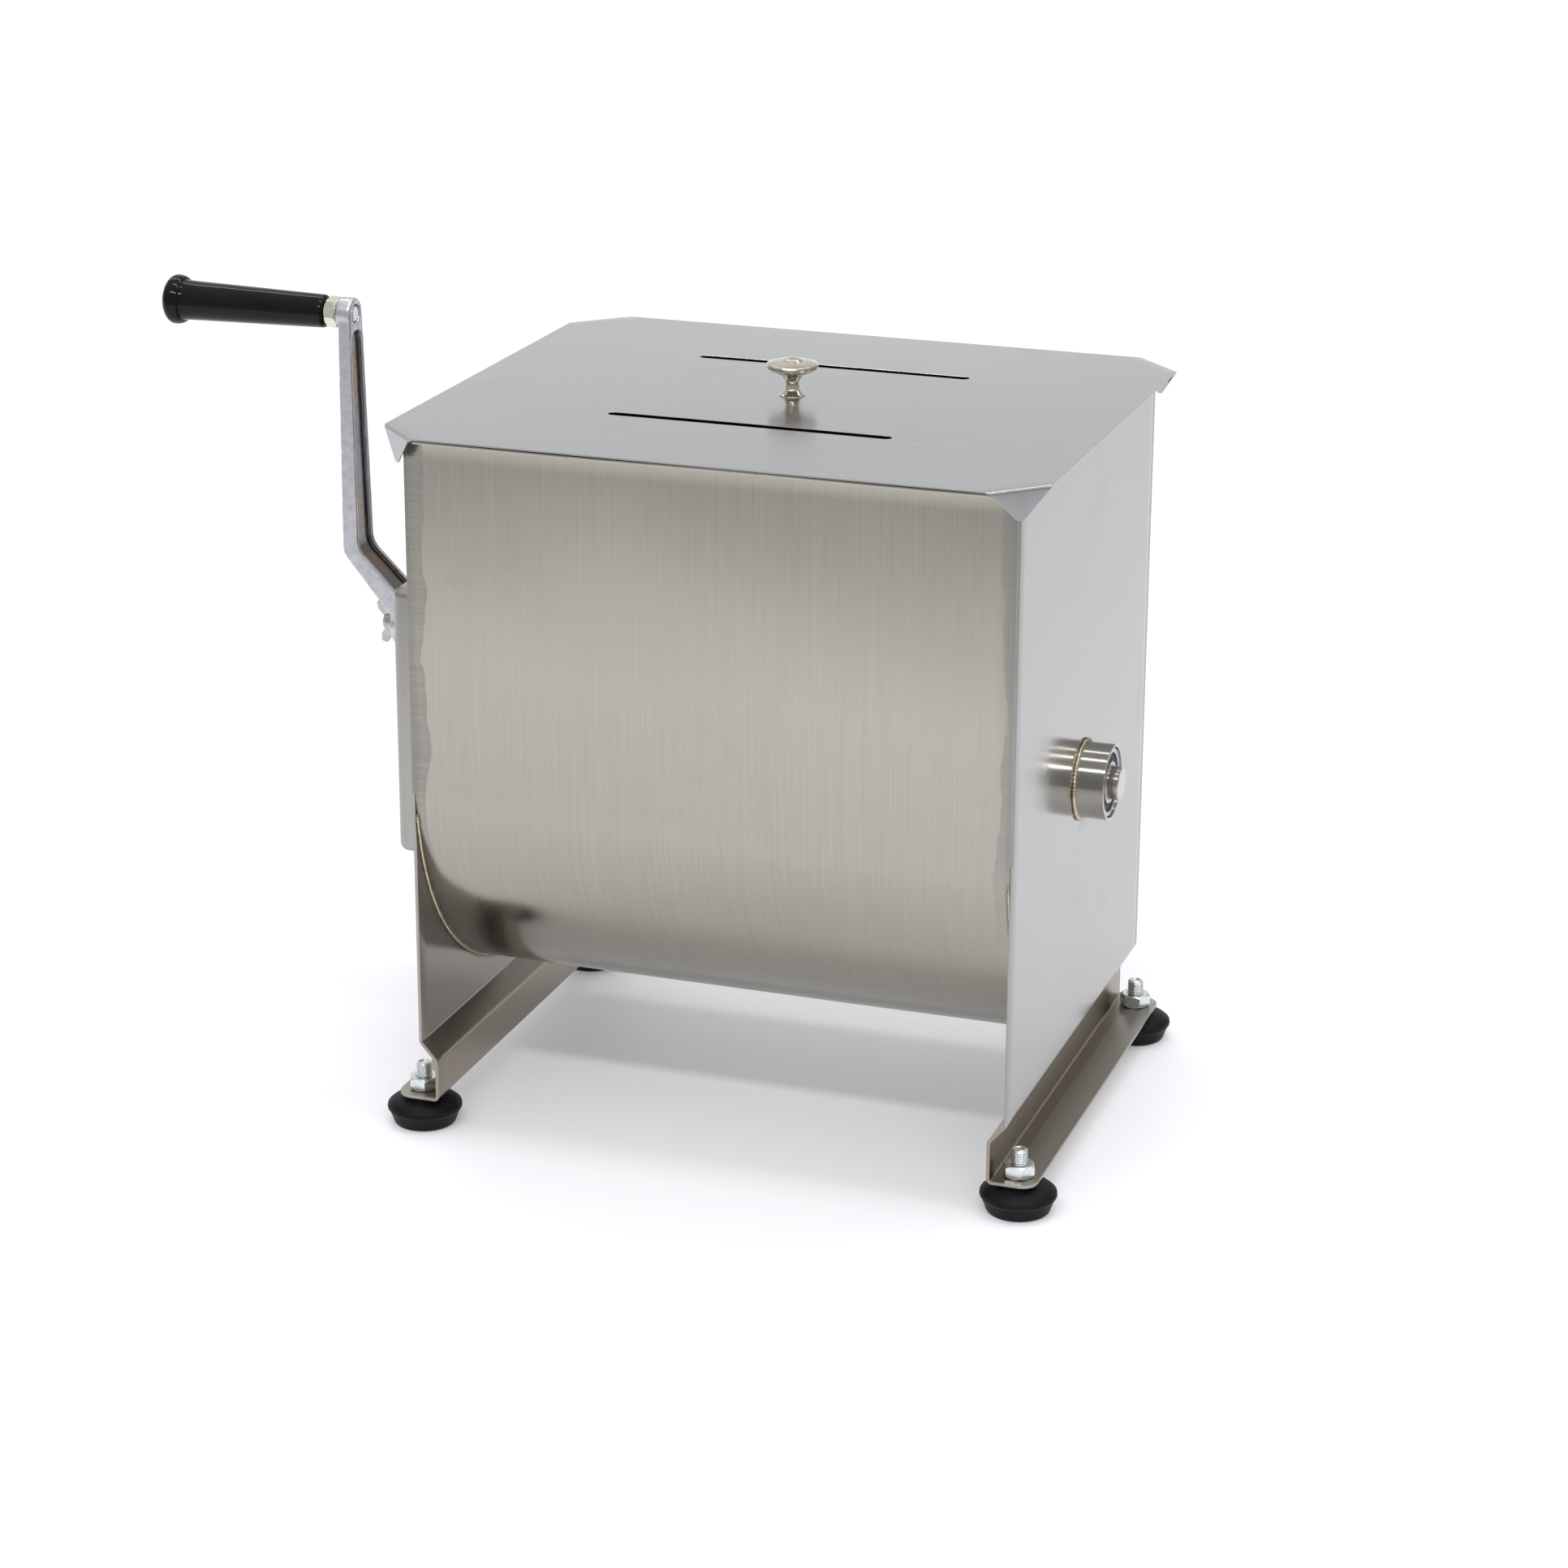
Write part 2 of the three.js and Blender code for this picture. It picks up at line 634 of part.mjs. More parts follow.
function crankArm() {
  const { axisZ, hubRadius, hubInner, hubOuter, bossRadius, bossInner, bossOuter, shaftRadius, flat } = CRANK;
  const top = axisZ + CRANK.throw;
  const blade = common(armBlank(), prismX(armFront(hubRadius, bossRadius), -320, -240, 16));
  const near = armChannel([[254, 293], ...ARM_SIDE.near.slice(1)], 1);
  const far = armChannel([...ARM_SIDE.far.slice(0, 3), [272, 293.2]], -1);
  const hub = ringX(-hubInner, -hubOuter, hubRadius, 0, axisZ);
  const boss = ringX(-bossInner, -bossOuter, bossRadius, 0, top);
  const socket = cut(ringX(-hubInner + 5, -hubOuter + 3 - FIT_GAP, shaftRadius + FIT_GAP, 0, axisZ),
    box(-400, 0, flat + FIT_GAP, 40, axisZ - 40, axisZ + 40));
  const studHole = ringX(-hubInner, -hubOuter - 1, CRANK_STUD.radius + FIT_GAP, 0, axisZ, FINE_ROUND);
  const spindleHole = ringX(-bossInner + 5, -bossOuter - 1, GRIP.spindleRadius + FIT_GAP, 0, top, FINE_ROUND);
  return cut(join(cut(blade, near, far), hub, boss), socket, studHole, spindleHole);
}

function handleNut() {
  const blank = prismX(hexagon(GRIP.nutAcross), -GRIP.nutOuter, -GRIP.nutInner);
  const bore = ringX(-GRIP.nutOuter - 1, -GRIP.nutInner + 1, GRIP.spindleRadius + FIT_GAP, 0, 0, FINE_ROUND);
  const round = turnedX([[-GRIP.nutOuter, 0], [-GRIP.nutOuter, 8.4], [-GRIP.nutOuter + 1, 9.9],
    [-GRIP.nutInner - 1, 9.9], [-GRIP.nutInner, 8.4], [-GRIP.nutInner, 0]], 0, FINE_ROUND);
  return cut(common(blank, round), bore).translate(0, 0, CRANK.axisZ + CRANK.throw);
}

function grip() {
  const { inner, outer, innerRadius, neck, neckRadius, bulb, bulbRadius, spindleRadius, spindleOuter } = GRIP;
  const bore = spindleRadius + FIT_GAP;
  const profile = [[-inner, bore], [-inner, innerRadius - 1.5], [-inner - 1.5, innerRadius], [-neck, neckRadius]];
  const quarter = Math.PI / 2;
  const swell = bulbRadius - neckRadius;
  for (const turn of [0.35, 0.7, 1]) {
    const angle = quarter * (1 - turn);
    profile.push([-bulb + (bulb - neck) * Math.sin(angle), neckRadius + swell * Math.cos(angle)]);
  }
  for (const turn of [0.35, 0.65, 0.85, 1]) {
    const angle = quarter * turn;
    const radius = turn === 1 ? 0 : bulbRadius * Math.cos(angle);
    profile.push([-bulb - (outer - bulb) * Math.sin(angle), radius]);
  }
  profile.push([-spindleOuter - 1, 0], [-spindleOuter - 1, bore], [-inner, bore]);
  return turnedX(profile, CRANK.axisZ + CRANK.throw);
}

/** A hub with two ears that lean outwards, turned a little off upright. */
function wingNut() {
  const seat = -CRANK.hubOuter - FIT_GAP;
  const hub = turnedX([[seat - 8, 0], [seat - 8, 5.2], [seat, 7.6], [seat, 0]], 0, 20);
  const ear = new THREE.Shape();
  ear.moveTo(seat - 1.5, 4);
  ear.lineTo(seat - 4.5, 9.8);
  ear.quadraticCurveTo(seat - 9, 16, seat - 12.6, 14);
  ear.quadraticCurveTo(seat - 14.4, 12, seat - 12.4, 9);
  ear.lineTo(seat - 7, 3);
  const blade = prismY(ear, -1.6, 1.6, 4);
  const other = blade.clone().rotateX(Math.PI);
  const bore = ringX(seat - 20, seat + 5, CRANK_STUD.radius + FIT_GAP, 0, 0, 20);
  const lean = THREE.MathUtils.degToRad(13);
  return cut(join(hub, blade, other), bore).rotateX(lean).translate(0, 0, CRANK.axisZ);
}

piece('crank_arm', crankArm(), FINISH.cast);
piece('handle_spindle', ringX(-CRANK.bossInner, -GRIP.spindleOuter, GRIP.spindleRadius, 0,
  CRANK.axisZ + CRANK.throw, FINE_ROUND), FINISH.zinc);
piece('handle_nut', handleNut(), FINISH.zinc);
piece('grip', grip(), FINISH.plastic);
piece('wing_nut', wingNut(), FINISH.nickel);

// ---- lid ----

/** The flap that each cut corner of the lid is folded down into, with a rounded point. */
function lidFlap(xSide, ySide) {
  const half = LID.corner / Math.SQRT2;
  const shape = new THREE.Shape();
  const nose = 3;
  shape.moveTo(-half, 0);
  shape.lineTo(-nose, -half + nose);
  shape.quadraticCurveTo(0, -half + 0.4, nose, -half + nose);
  shape.lineTo(half, 0);
  const flap = prismY(shape, 0, LID.sheet, 3).rotateZ(Math.PI / 4);
  const turn = new THREE.Matrix4().makeRotationZ(Math.atan2(ySide, xSide) - Math.atan2(-1, 1));
  const x = xSide * (LID.halfLength - LID.corner / 2);
  const y = ySide * (LID.halfWidth - LID.corner / 2);
  return flap.applyMatrix4(turn).translate(x, y, LID.top - 0.1);
}

function lidSlot(y) {
  const radius = LID.slotWidth / 2;
  const reach = LID.slotHalfLength - radius;
  const shape = new THREE.Shape();
  shape.absarc(reach, y, radius, -Math.PI / 2, Math.PI / 2, false);
  shape.absarc(-reach, y, radius, Math.PI / 2, Math.PI * 1.5, false);
  return prismZ(shape, LID.top - 5, LID.top + 5);
}

function lid() {
  const { halfLength: x, halfWidth: y, corner: c, top, sheet } = LID;
  const plan = outline([[x, -y + c], [x, y - c], [x - c, y], [-x + c, y], [-x, y - c], [-x, -y + c], [-x + c, -y],
    [x - c, -y]]);
  const flaps = [[1, 1], [1, -1], [-1, 1], [-1, -1]].map(([xSide, ySide]) => lidFlap(xSide, ySide));
  const bore = KNOB.screwRadius + 0.4;
  const screwHole = turnedZ([[top - 5, 0], [top - 5, bore], [top + 5, bore], [top + 5, 0]], 0, 0);
  return cut(join(prismZ(plan, top - sheet, top), ...flaps), lidSlot(LID.slotY), lidSlot(-LID.slotY), screwHole);
}

function knob() {
  const base = LID.top + FIT_GAP;
  const rise = (height, radius) => [base + height, radius];
  const bore = KNOB.screwRadius + FIT_GAP;
  return turnedZ([
    rise(0, bore), rise(0, 7.9), rise(1.2, 7.7), rise(4.1, 4.8), rise(7, 3.8), rise(10.2, 5), rise(12.8, 7.2),
    rise(15.4, 12), rise(17.6, 15.2), rise(19.2, 15.7), rise(20.2, 15), rise(22, 8), rise(23.4, 4.4),
    rise(KNOB.height, 0),
    [KNOB.screwTop + 1, 0], [KNOB.screwTop + 1, bore], rise(0, bore),
  ], 0, 0);
}

function knobScrew() {
  const under = LID.top - LID.sheet - FIT_GAP;
  const { screwRadius, screwTop } = KNOB;
  const profile = [[under - 3.2, 0], [under - 3.2, 3], [under - 2.2, 4.8], [under, 5.4], [under, screwRadius],
    [screwTop, screwRadius], [screwTop, 0]];
  return turnedZ(profile, 0, 0, 20);
}

piece('lid', lid(), FINISH.lid);
piece('lid_knob', knob(), FINISH.nickel);
piece('knob_screw', knobScrew(), FINISH.zinc);

// ---- feet ----

function footPad(x, y) {
  const bore = FOOT.studRadius + FIT_GAP;
  const hollow = FOOT.studBottom - 0.5;
  return turnedZ([
    [0, 0], [0, 18], [1.2, 20], [9, 21.9], [10.4, FOOT.padRadius], [12, FOOT.padRadius], [14.4, 20.5], [17.5, 12],
    [FOOT.padTop, 12], [FOOT.padTop, bore], [hollow, bore], [hollow, 0],
  ], x, y);
}

function footNut(x, y) {
  const low = PLATE.flangeBottom + PLATE.thickness + FIT_GAP;
  const high = low + FOOT.nutHeight;
  const round = turnedZ([[low, 0], [low, 8.6], [low + 0.8, 9.9], [high - 1, 9.9], [high, 8.4], [high, 0]], 0, 0);
  const bore = turnedZ([[low - 1, 0], [low - 1, FOOT.studRadius + FIT_GAP], [high + 1, FOOT.studRadius + FIT_GAP],
    [high + 1, 0]], 0, 0, 20);
  return cut(common(prismZ(hexagon(FOOT.nutAcross), low, high), round), bore).translate(x, y, 0);
}

function footStud(x, y) {
  const { studBottom: low, studTop: high, studRadius: radius } = FOOT;
  return turnedZ([[low, 0], [low, radius], [high - 0.8, radius], [high, radius - 0.8], [high, 0]], x, y, 20);
}

for (const [sideName, xSide] of [['left', -1], ['right', 1]]) {
  for (const [endName, ySide] of [['front', -1], ['rear', 1]]) {
    const [x, y] = [xSide * FOOT.x, ySide * FOOT.y];
    const place = `${endName}_${sideName}`;
    piece(`${place}_foot_pad`, footPad(x, y), FINISH.rubber);
    piece(`${place}_foot_stud`, footStud(x, y), FINISH.zinc);
    piece(`${place}_foot_nut`, footNut(x, y), FINISH.zinc);
  }
}

export default machine;
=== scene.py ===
"""Fine shapes and finishes for a hand-crank tub mixer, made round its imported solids."""
import functools
import logging
import math
from collections.abc import Callable, Iterable, Sequence
from dataclasses import dataclass, field
from enum import Enum

import bmesh
import bpy
import numpy as np
from mathutils import Matrix, Vector, noise
from mathutils.geometry import delaunay_2d_cdt


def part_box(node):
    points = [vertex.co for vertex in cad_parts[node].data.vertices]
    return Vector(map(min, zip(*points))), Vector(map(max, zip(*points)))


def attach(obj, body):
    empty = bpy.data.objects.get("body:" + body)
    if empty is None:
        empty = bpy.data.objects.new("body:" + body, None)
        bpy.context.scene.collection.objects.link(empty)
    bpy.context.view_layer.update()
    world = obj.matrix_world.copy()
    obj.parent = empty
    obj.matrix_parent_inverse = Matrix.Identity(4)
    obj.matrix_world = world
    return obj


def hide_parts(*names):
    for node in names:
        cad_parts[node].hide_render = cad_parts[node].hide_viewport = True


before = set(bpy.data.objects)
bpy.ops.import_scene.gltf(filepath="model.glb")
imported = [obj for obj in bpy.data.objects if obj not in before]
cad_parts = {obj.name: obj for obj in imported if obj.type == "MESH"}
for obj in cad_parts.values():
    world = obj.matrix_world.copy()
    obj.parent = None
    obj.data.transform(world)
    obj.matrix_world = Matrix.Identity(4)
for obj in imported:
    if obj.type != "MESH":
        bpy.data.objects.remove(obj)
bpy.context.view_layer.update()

LOG = logging.getLogger("tub_mixer")

Point = tuple[float, float]
Bend = tuple[float, float, float]
Colour = tuple[float, float, float]
Piece = bpy.types.Object
Material = bpy.types.Material


# ---------------------------------------------------------------- places taken from the frame


@dataclass(frozen=True)
class Place:
    """The lowest, highest and middle corners of one CAD node."""

    low: Vector
    high: Vector

    @classmethod
    def of(cls, node: str) -> "Place":
        """Reads a node's box from the frame."""
        low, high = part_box(node)
        return cls(Vector(low), Vector(high))

    @property
    def middle(self) -> Vector:
        """The centre of the box."""
        return (self.low + self.high) / 2

    @property
    def size(self) -> Vector:
        """The box's length along each axis."""
        return self.high - self.low


TUB_BOX = Place.of("tub_wrapper")
CENTRE_X = TUB_BOX.middle.x
SHAFT_Z = Place.of("paddle_shaft").middle.z
CRANK_Z = Place.of("crank_shaft").middle.z
HANDLE_Z = Place.of("handle_spindle").middle.z
RIM_Z = TUB_BOX.high.z
PLATE_X = Place.of("right_end_plate").high.x - CENTRE_X


class Side(Enum):
    """The two ends of the tub."""

    LEFT = -1
    RIGHT = 1

    @property
    def word(self) -> str:
        """The name used in the frame's nodes."""
        return self.name.lower()


class Axis(Enum):
    """The line that a turned piece is turned about."""

    X = "x"
    Z = "z"


# ---------------------------------------------------------------- mesh making


def linked(name: str, data: bpy.types.ID) -> Piece:
    """Adds an object that holds this mesh, light or camera to the scene."""
    made = bpy.data.objects.new(name, data)
    bpy.context.scene.collection.objects.link(made)
    return made


def object_from(name: str, vertices: Iterable, faces: Iterable, smooth_angle: float = 30.0) -> Piece:
    """Makes an object at the origin with outward faces.

    Args:
        name: the piece's name.
        vertices: points in metres.
        faces: tuples of vertex numbers.
        smooth_angle: edges sharper than this, in degrees, stay crisp.

    Returns:
        The new object, linked to the scene.
    """
    mesh = bpy.data.meshes.new(name)
    mesh.from_pydata([tuple(v) for v in vertices], [], [tuple(int(i) for i in f) for f in faces])
    tidy_mesh(mesh, smooth_angle)
    return linked(name, mesh)


def tidy_mesh(mesh: bpy.types.Mesh, smooth_angle: float = 30.0) -> None:
    """Merges doubles, turns the faces outwards and shades smoothly between crisp edges."""
    work = bmesh.new()
    work.from_mesh(mesh)
    bmesh.ops.remove_doubles(work, verts=work.verts, dist=1e-7)
    bmesh.ops.dissolve_degenerate(work, dist=1e-7, edges=work.edges)
    bmesh.ops.delete(work, geom=[v for v in work.verts if not v.link_faces], context="VERTS")
    bmesh.ops.recalc_face_normals(work, faces=work.faces)
    for face in work.faces:
        face.smooth = True
    work.to_mesh(mesh)
    work.free()
    mesh.set_sharp_from_angle(angle=math.radians(smooth_angle))


def bake_modifiers(piece: Piece, smooth_angle: float = 30.0) -> Piece:
    """Turns a piece's modifiers into a plain mesh and takes them off."""
    graph = bpy.context.evaluated_depsgraph_get()
    mesh = bpy.data.meshes.new_from_object(piece.evaluated_get(graph))
    piece.modifiers.clear()
    old, piece.data = piece.data, mesh
    mesh.name = piece.name
    bpy.data.meshes.remove(old)
    tidy_mesh(mesh, smooth_angle)
    return piece


def drop(pieces: Iterable[Piece]) -> None:
    """Removes helper objects that have been used up."""
    for piece in list(pieces):
        bpy.data.objects.remove(piece, do_unlink=True)


def modify(piece: Piece, kind: str, **settings: object) -> None:
    """Puts a modifier of this kind on a piece, with its settings."""
    modifier = piece.modifiers.new(kind.lower(), kind)
    for key, value in settings.items():
        setattr(modifier, key, value)


def give_wall(piece: Piece, thickness: float) -> Piece:
    """Gives a surface a thickness behind its outer face."""
    modify(piece, "SOLIDIFY", thickness=thickness, offset=-1, use_even_offset=True)
    return bake_modifiers(piece, 40.0)


def soften_edges(piece: Piece, width: float, segments: int = 2, angle: float = 50.0) -> Piece:
    """Rounds the crisp edges of a piece by a small width in metres."""
    modify(piece, "BEVEL", width=width, segments=segments, limit_method="ANGLE",
           angle_limit=math.radians(angle), use_clamp_overlap=True, harden_normals=False)
    return bake_modifiers(piece)


def cut_away(piece: Piece, tools: Sequence[Piece]) -> Piece:
    """Subtracts each tool from a piece, then removes the tools."""
    for tool in tools:
        modify(piece, "BOOLEAN", operation="DIFFERENCE", solver="EXACT", object=tool)
    bake_modifiers(piece)
    drop(tools)
    return piece


def gathered(name: str, pieces: Sequence[Piece]) -> Piece:
    """Joins several helper objects into one mesh and removes the helpers."""
    work = bmesh.new()
    for piece in pieces:
        work.from_mesh(piece.data)
    mesh = bpy.data.meshes.new(name)
    work.to_mesh(mesh)
    work.free()
    joined = linked(name, mesh)
    drop(pieces)
    return joined


def slab(name: str, outline: Sequence[Point], half: float) -> Piece:
    """A flat plate across Y, from its outline in X and Z and half its thickness."""
    count = len(outline)
    vertices = [(x, y, z) for y in (-half, half) for x, z in outline]
    faces = [tuple(range(count)), tuple(range(count, 2 * count))]
    faces += [(i, (i + 1) % count, count + (i + 1) % count, count + i) for i in range(count)]
    return object_from(name, vertices, faces)


def block(name: str, low: Sequence[float], high: Sequence[float]) -> Piece:
    """A plain box between two corners, used as a cutting tool."""
    corners = [(x, y, z) for x in (low[0], high[0]) for y in (low[1], high[1]) for z in (low[2], high[2])]
    faces = [(0, 1, 3, 2), (4, 6, 7, 5), (0, 4, 5, 1), (2, 3, 7, 6), (0, 2, 6, 4), (1, 5, 7, 3)]
    return object_from(name, corners, faces)


def rounded(points: Sequence[Bend], steps: int = 5) -> list[Point]:
    """Turns an open line with a bend radius at each corner into points.

    Args:
        points: (a, b, radius) for each corner; the two ends have no bend.
        steps: segments in each bend.

    Returns:
        The line's points in order.
    """
    line: list[Point] = []
    last = len(points) - 1
    for i, (a, b, radius) in enumerate(points):
        if radius <= 0 or i in (0, last):
            line.append((a, b))
            continue
        here = Vector((a, b))
        back = (Vector(points[i - 1][:2]) - here).normalized()
        ahead = (Vector(points[i + 1][:2]) - here).normalized()
        half = back.angle(ahead) / 2
        reach = radius / math.tan(half)
        centre = here + (back + ahead).normalized() * (radius / math.sin(half))
        start, end = here + back * reach - centre, here + ahead * reach - centre
        sweep = start.angle_signed(end)
        for step in range(steps + 1):
            turned = start.copy()
            turned.rotate(Matrix.Rotation(-sweep * step / steps, 2))
            line.append(tuple(centre + turned))
    return line


def spaced(line: Sequence[Point], longest: float) -> list[Point]:
    """Adds points along a line so that no stretch is longer than a given length."""
    dense = [line[0]]
    for (a0, b0), (a1, b1) in zip(line, line[1:]):
        parts = max(1, math.ceil(math.hypot(a1 - a0, b1 - b0) / longest))
        dense += [(a0 + (a1 - a0) * k / parts, b0 + (b1 - b0) * k / parts) for k in range(1, parts + 1)]
    return dense


def arc(a: float, b: float, radius: float, start: float, end: float, steps: int) -> list[Point]:
    """Points round a part circle, with its angles in degrees."""
    turns = np.radians(np.linspace(start, end, steps + 1))
    return [(a + radius * math.cos(t), b + radius * math.sin(t)) for t in turns]


def turned(
    name: str,
    profile: Sequence[Point],
    axis: Axis,
    centre: Vector,
    facets: int = 96,
    radius_at: Callable[[float, float, float], float] | None = None,
    smooth_angle: float = 30.0,
) -> Piece:
    """Turns a profile about an axis into a closed piece.

    Args:
        name: the piece's name.
        profile: (distance along the axis, radius), from the axis to the axis or back to its start.
        axis: the direction of the axis.
        centre: a point that the axis passes through, where the distance is 0.
        facets: steps round the axis.
        radius_at: changes a radius, given the angle, the distance and the radius.
        smooth_angle: edges sharper than this stay crisp.

    Returns:
        The new object.
    """
    closed_ring = profile[0] == profile[-1] and profile[0][1] > 0
    rows = list(profile[:-1]) if closed_ring else list(profile)
    angles = np.linspace(0, 2 * math.pi, facets, endpoint=False)
    vertices: list[Vector] = []
    rings: list[list[int]] = []
    for along, radius in rows:
        ring = []
        for angle in angles if radius > 0 else angles[:1]:
            reach = radius_at(angle, along, radius) if radius_at and radius > 0 else radius
            across, up = reach * math.cos(angle), reach * math.sin(angle)
            offset = Vector((along, across, up)) if axis is Axis.X else Vector((across, up, along))
            ring.append(len(vertices))
            vertices.append(centre + offset)
        rings.append(ring if radius > 0 else ring * facets)
    faces = []
    pairs = list(zip(rings, rings[1:])) + ([(rings[-1], rings[0])] if closed_ring else [])
    for low, high in pairs:
        for k in range(facets):
            following = (k + 1) % facets
            corners = [low[k], low[following], high[following], high[k]]
            unique = list(dict.fromkeys(corners))
            if len(unique) > 2:
                faces.append(unique)
    return object_from(name, vertices, faces, smooth_angle)


def ring_profile(start: float, end: float, bore: float, outer: float, ease: float) -> list[Point]:
    """The closed profile of a plain ring whose four edges are eased."""
    return [
        (start + ease, bore),
        (start, bore + ease),
        (start, outer - ease),
        (start + ease, outer),
        (end - ease, outer),
        (end, outer - ease),
        (end, bore + ease),
        (end - ease, bore),
        (start + ease, bore),
    ]


def rod_profile(low: float, high: float, radius: float, ease: float) -> list[Point]:
    """The profile of a plain rod whose two rims are eased."""
    return [(low, 0), (low, radius - ease), (low + ease, radius), (high - ease, radius), (high, radius - ease),
            (high, 0)]


def pillar(name: str, x: float, y: float, radius: float, low: float, high: float, facets: int = 64) -> Piece:
    """A plain upright cylinder, used as a cutting tool."""
    return turned(name, [(low, 0), (low, radius), (high, radius), (high, 0)], Axis.Z, Vector((x, y, 0)), facets)


def bar(name: str, start: float, end: float, radius: float, y: float, z: float, facets: int = 64) -> Piece:
    """A plain cylinder along X, used as a cutting tool."""
    profile = [(start, 0), (start, radius), (end, radius), (end, 0)]
    return turned(name, profile, Axis.X, Vector((0, y, z)), facets)


@dataclass
class FoldedSheet:
    """A metal sheet bent along parallel lines: a line swept sideways, with a thickness.

    Attributes:
        line: the sheet's outer face, as points in the plane of its bends.
        thickness: to the left of the line, or to its right if negative.
        half_width: the reach to each side at a point of the line.
        place: turns (a, b, sideways) into a point in space.
        columns: steps across the width.
        waviness: how far the sheet strays from flat, in metres.
        wave_length: how far apart its waves are, in metres.
    """

    line: list[Point]
    thickness: float
    half_width: Callable[[float, float], float]
    place: Callable[[float, float, float], Vector]
    columns: int = 24
    waviness: float = 0.0
    wave_length: float = 0.11

    def normals(self) -> list[Vector]:
        """The left-hand direction at each point of the line."""
        sides = []
        last = len(self.line) - 1
        for i in range(last + 1):
            before = Vector(self.line[max(i - 1, 0)])
            after = Vector(self.line[min(i + 1, last)])
            along = (after - before).normalized()
            sides.append(Vector((-along.y, along.x)))
        return sides

    def build(self, name: str) -> Piece:
        """Makes the closed sheet."""
        vertices: list[Vector] = []
        rows = len(self.line)
        count = self.columns + 1
        for (a, b), side in zip(self.line, self.normals()):
            reach = self.half_width(a, b)
            for k in range(count):
                across = reach * (2 * k / self.columns - 1)
                middle = self.place(a, b, across)
                stray = self.waviness * noise.noise(middle / self.wave_length)
                fade = min(1.0, (self.columns / 2 - abs(k - self.columns / 2)) / 3)
                for depth in (0.0, self.thickness):
                    shift = depth + stray * fade
                    vertices.append(self.place(a + side.x * shift, b + side.y * shift, across))

        def at(row: int, column: int, inner: int) -> int:
            """The number of the vertex on the outer (0) or inner (1) face."""
            return (row * count + column) * 2 + inner

        faces = []
        for row in range(rows - 1):
            for column in range(self.columns):
                for inner in (0, 1):
                    faces.append([at(row, column, inner), at(row, column + 1, inner),
                                  at(row + 1, column + 1, inner), at(row + 1, column, inner)])
            for column in (0, self.columns):
                faces.append([at(row, column, 0), at(row + 1, column, 0),
                              at(row + 1, column, 1), at(row, column, 1)])
        for row in (0, rows - 1):
            for column in range(self.columns):
                faces.append([at(row, column, 0), at(row, column + 1, 0),
                              at(row, column + 1, 1), at(row, column, 1)])
        return object_from(name, vertices, faces, 40.0)


# ---------------------------------------------------------------- node trees


class Wire:
    """An output socket, so that sums on it can be written as in plain Python."""

    def __init__(self, nodes: "Nodes", socket: bpy.types.NodeSocket) -> None:
        """Keeps the socket and the tree that it belongs to."""
        self.nodes, self.socket = nodes, socket

    def __add__(self, other: object) -> "Wire":
        """This and a number or another wire."""
        return self.nodes.maths("ADD", self, other)

    def __sub__(self, other: object) -> "Wire":
        """This less a number or another wire."""
        return self.nodes.maths("SUBTRACT", self, other)

    def __rsub__(self, other: float) -> "Wire":
        """A number less this."""
        return self.nodes.maths("SUBTRACT", other, self)

    def __mul__(self, other: object) -> "Wire":
        """This times a number or another wire."""
        return self.nodes.maths("MULTIPLY", self, other)

    def __truediv__(self, other: object) -> "Wire":
        """This over a number or another wire."""
        return self.nodes.maths("DIVIDE", self, other)

    def __rtruediv__(self, other: float) -> "Wire":
        """A number over this."""
        return self.nodes.maths("DIVIDE", other, self)

    def __abs__(self) -> "Wire":
        """This without its sign."""
        return self.nodes.maths("ABSOLUTE", self)


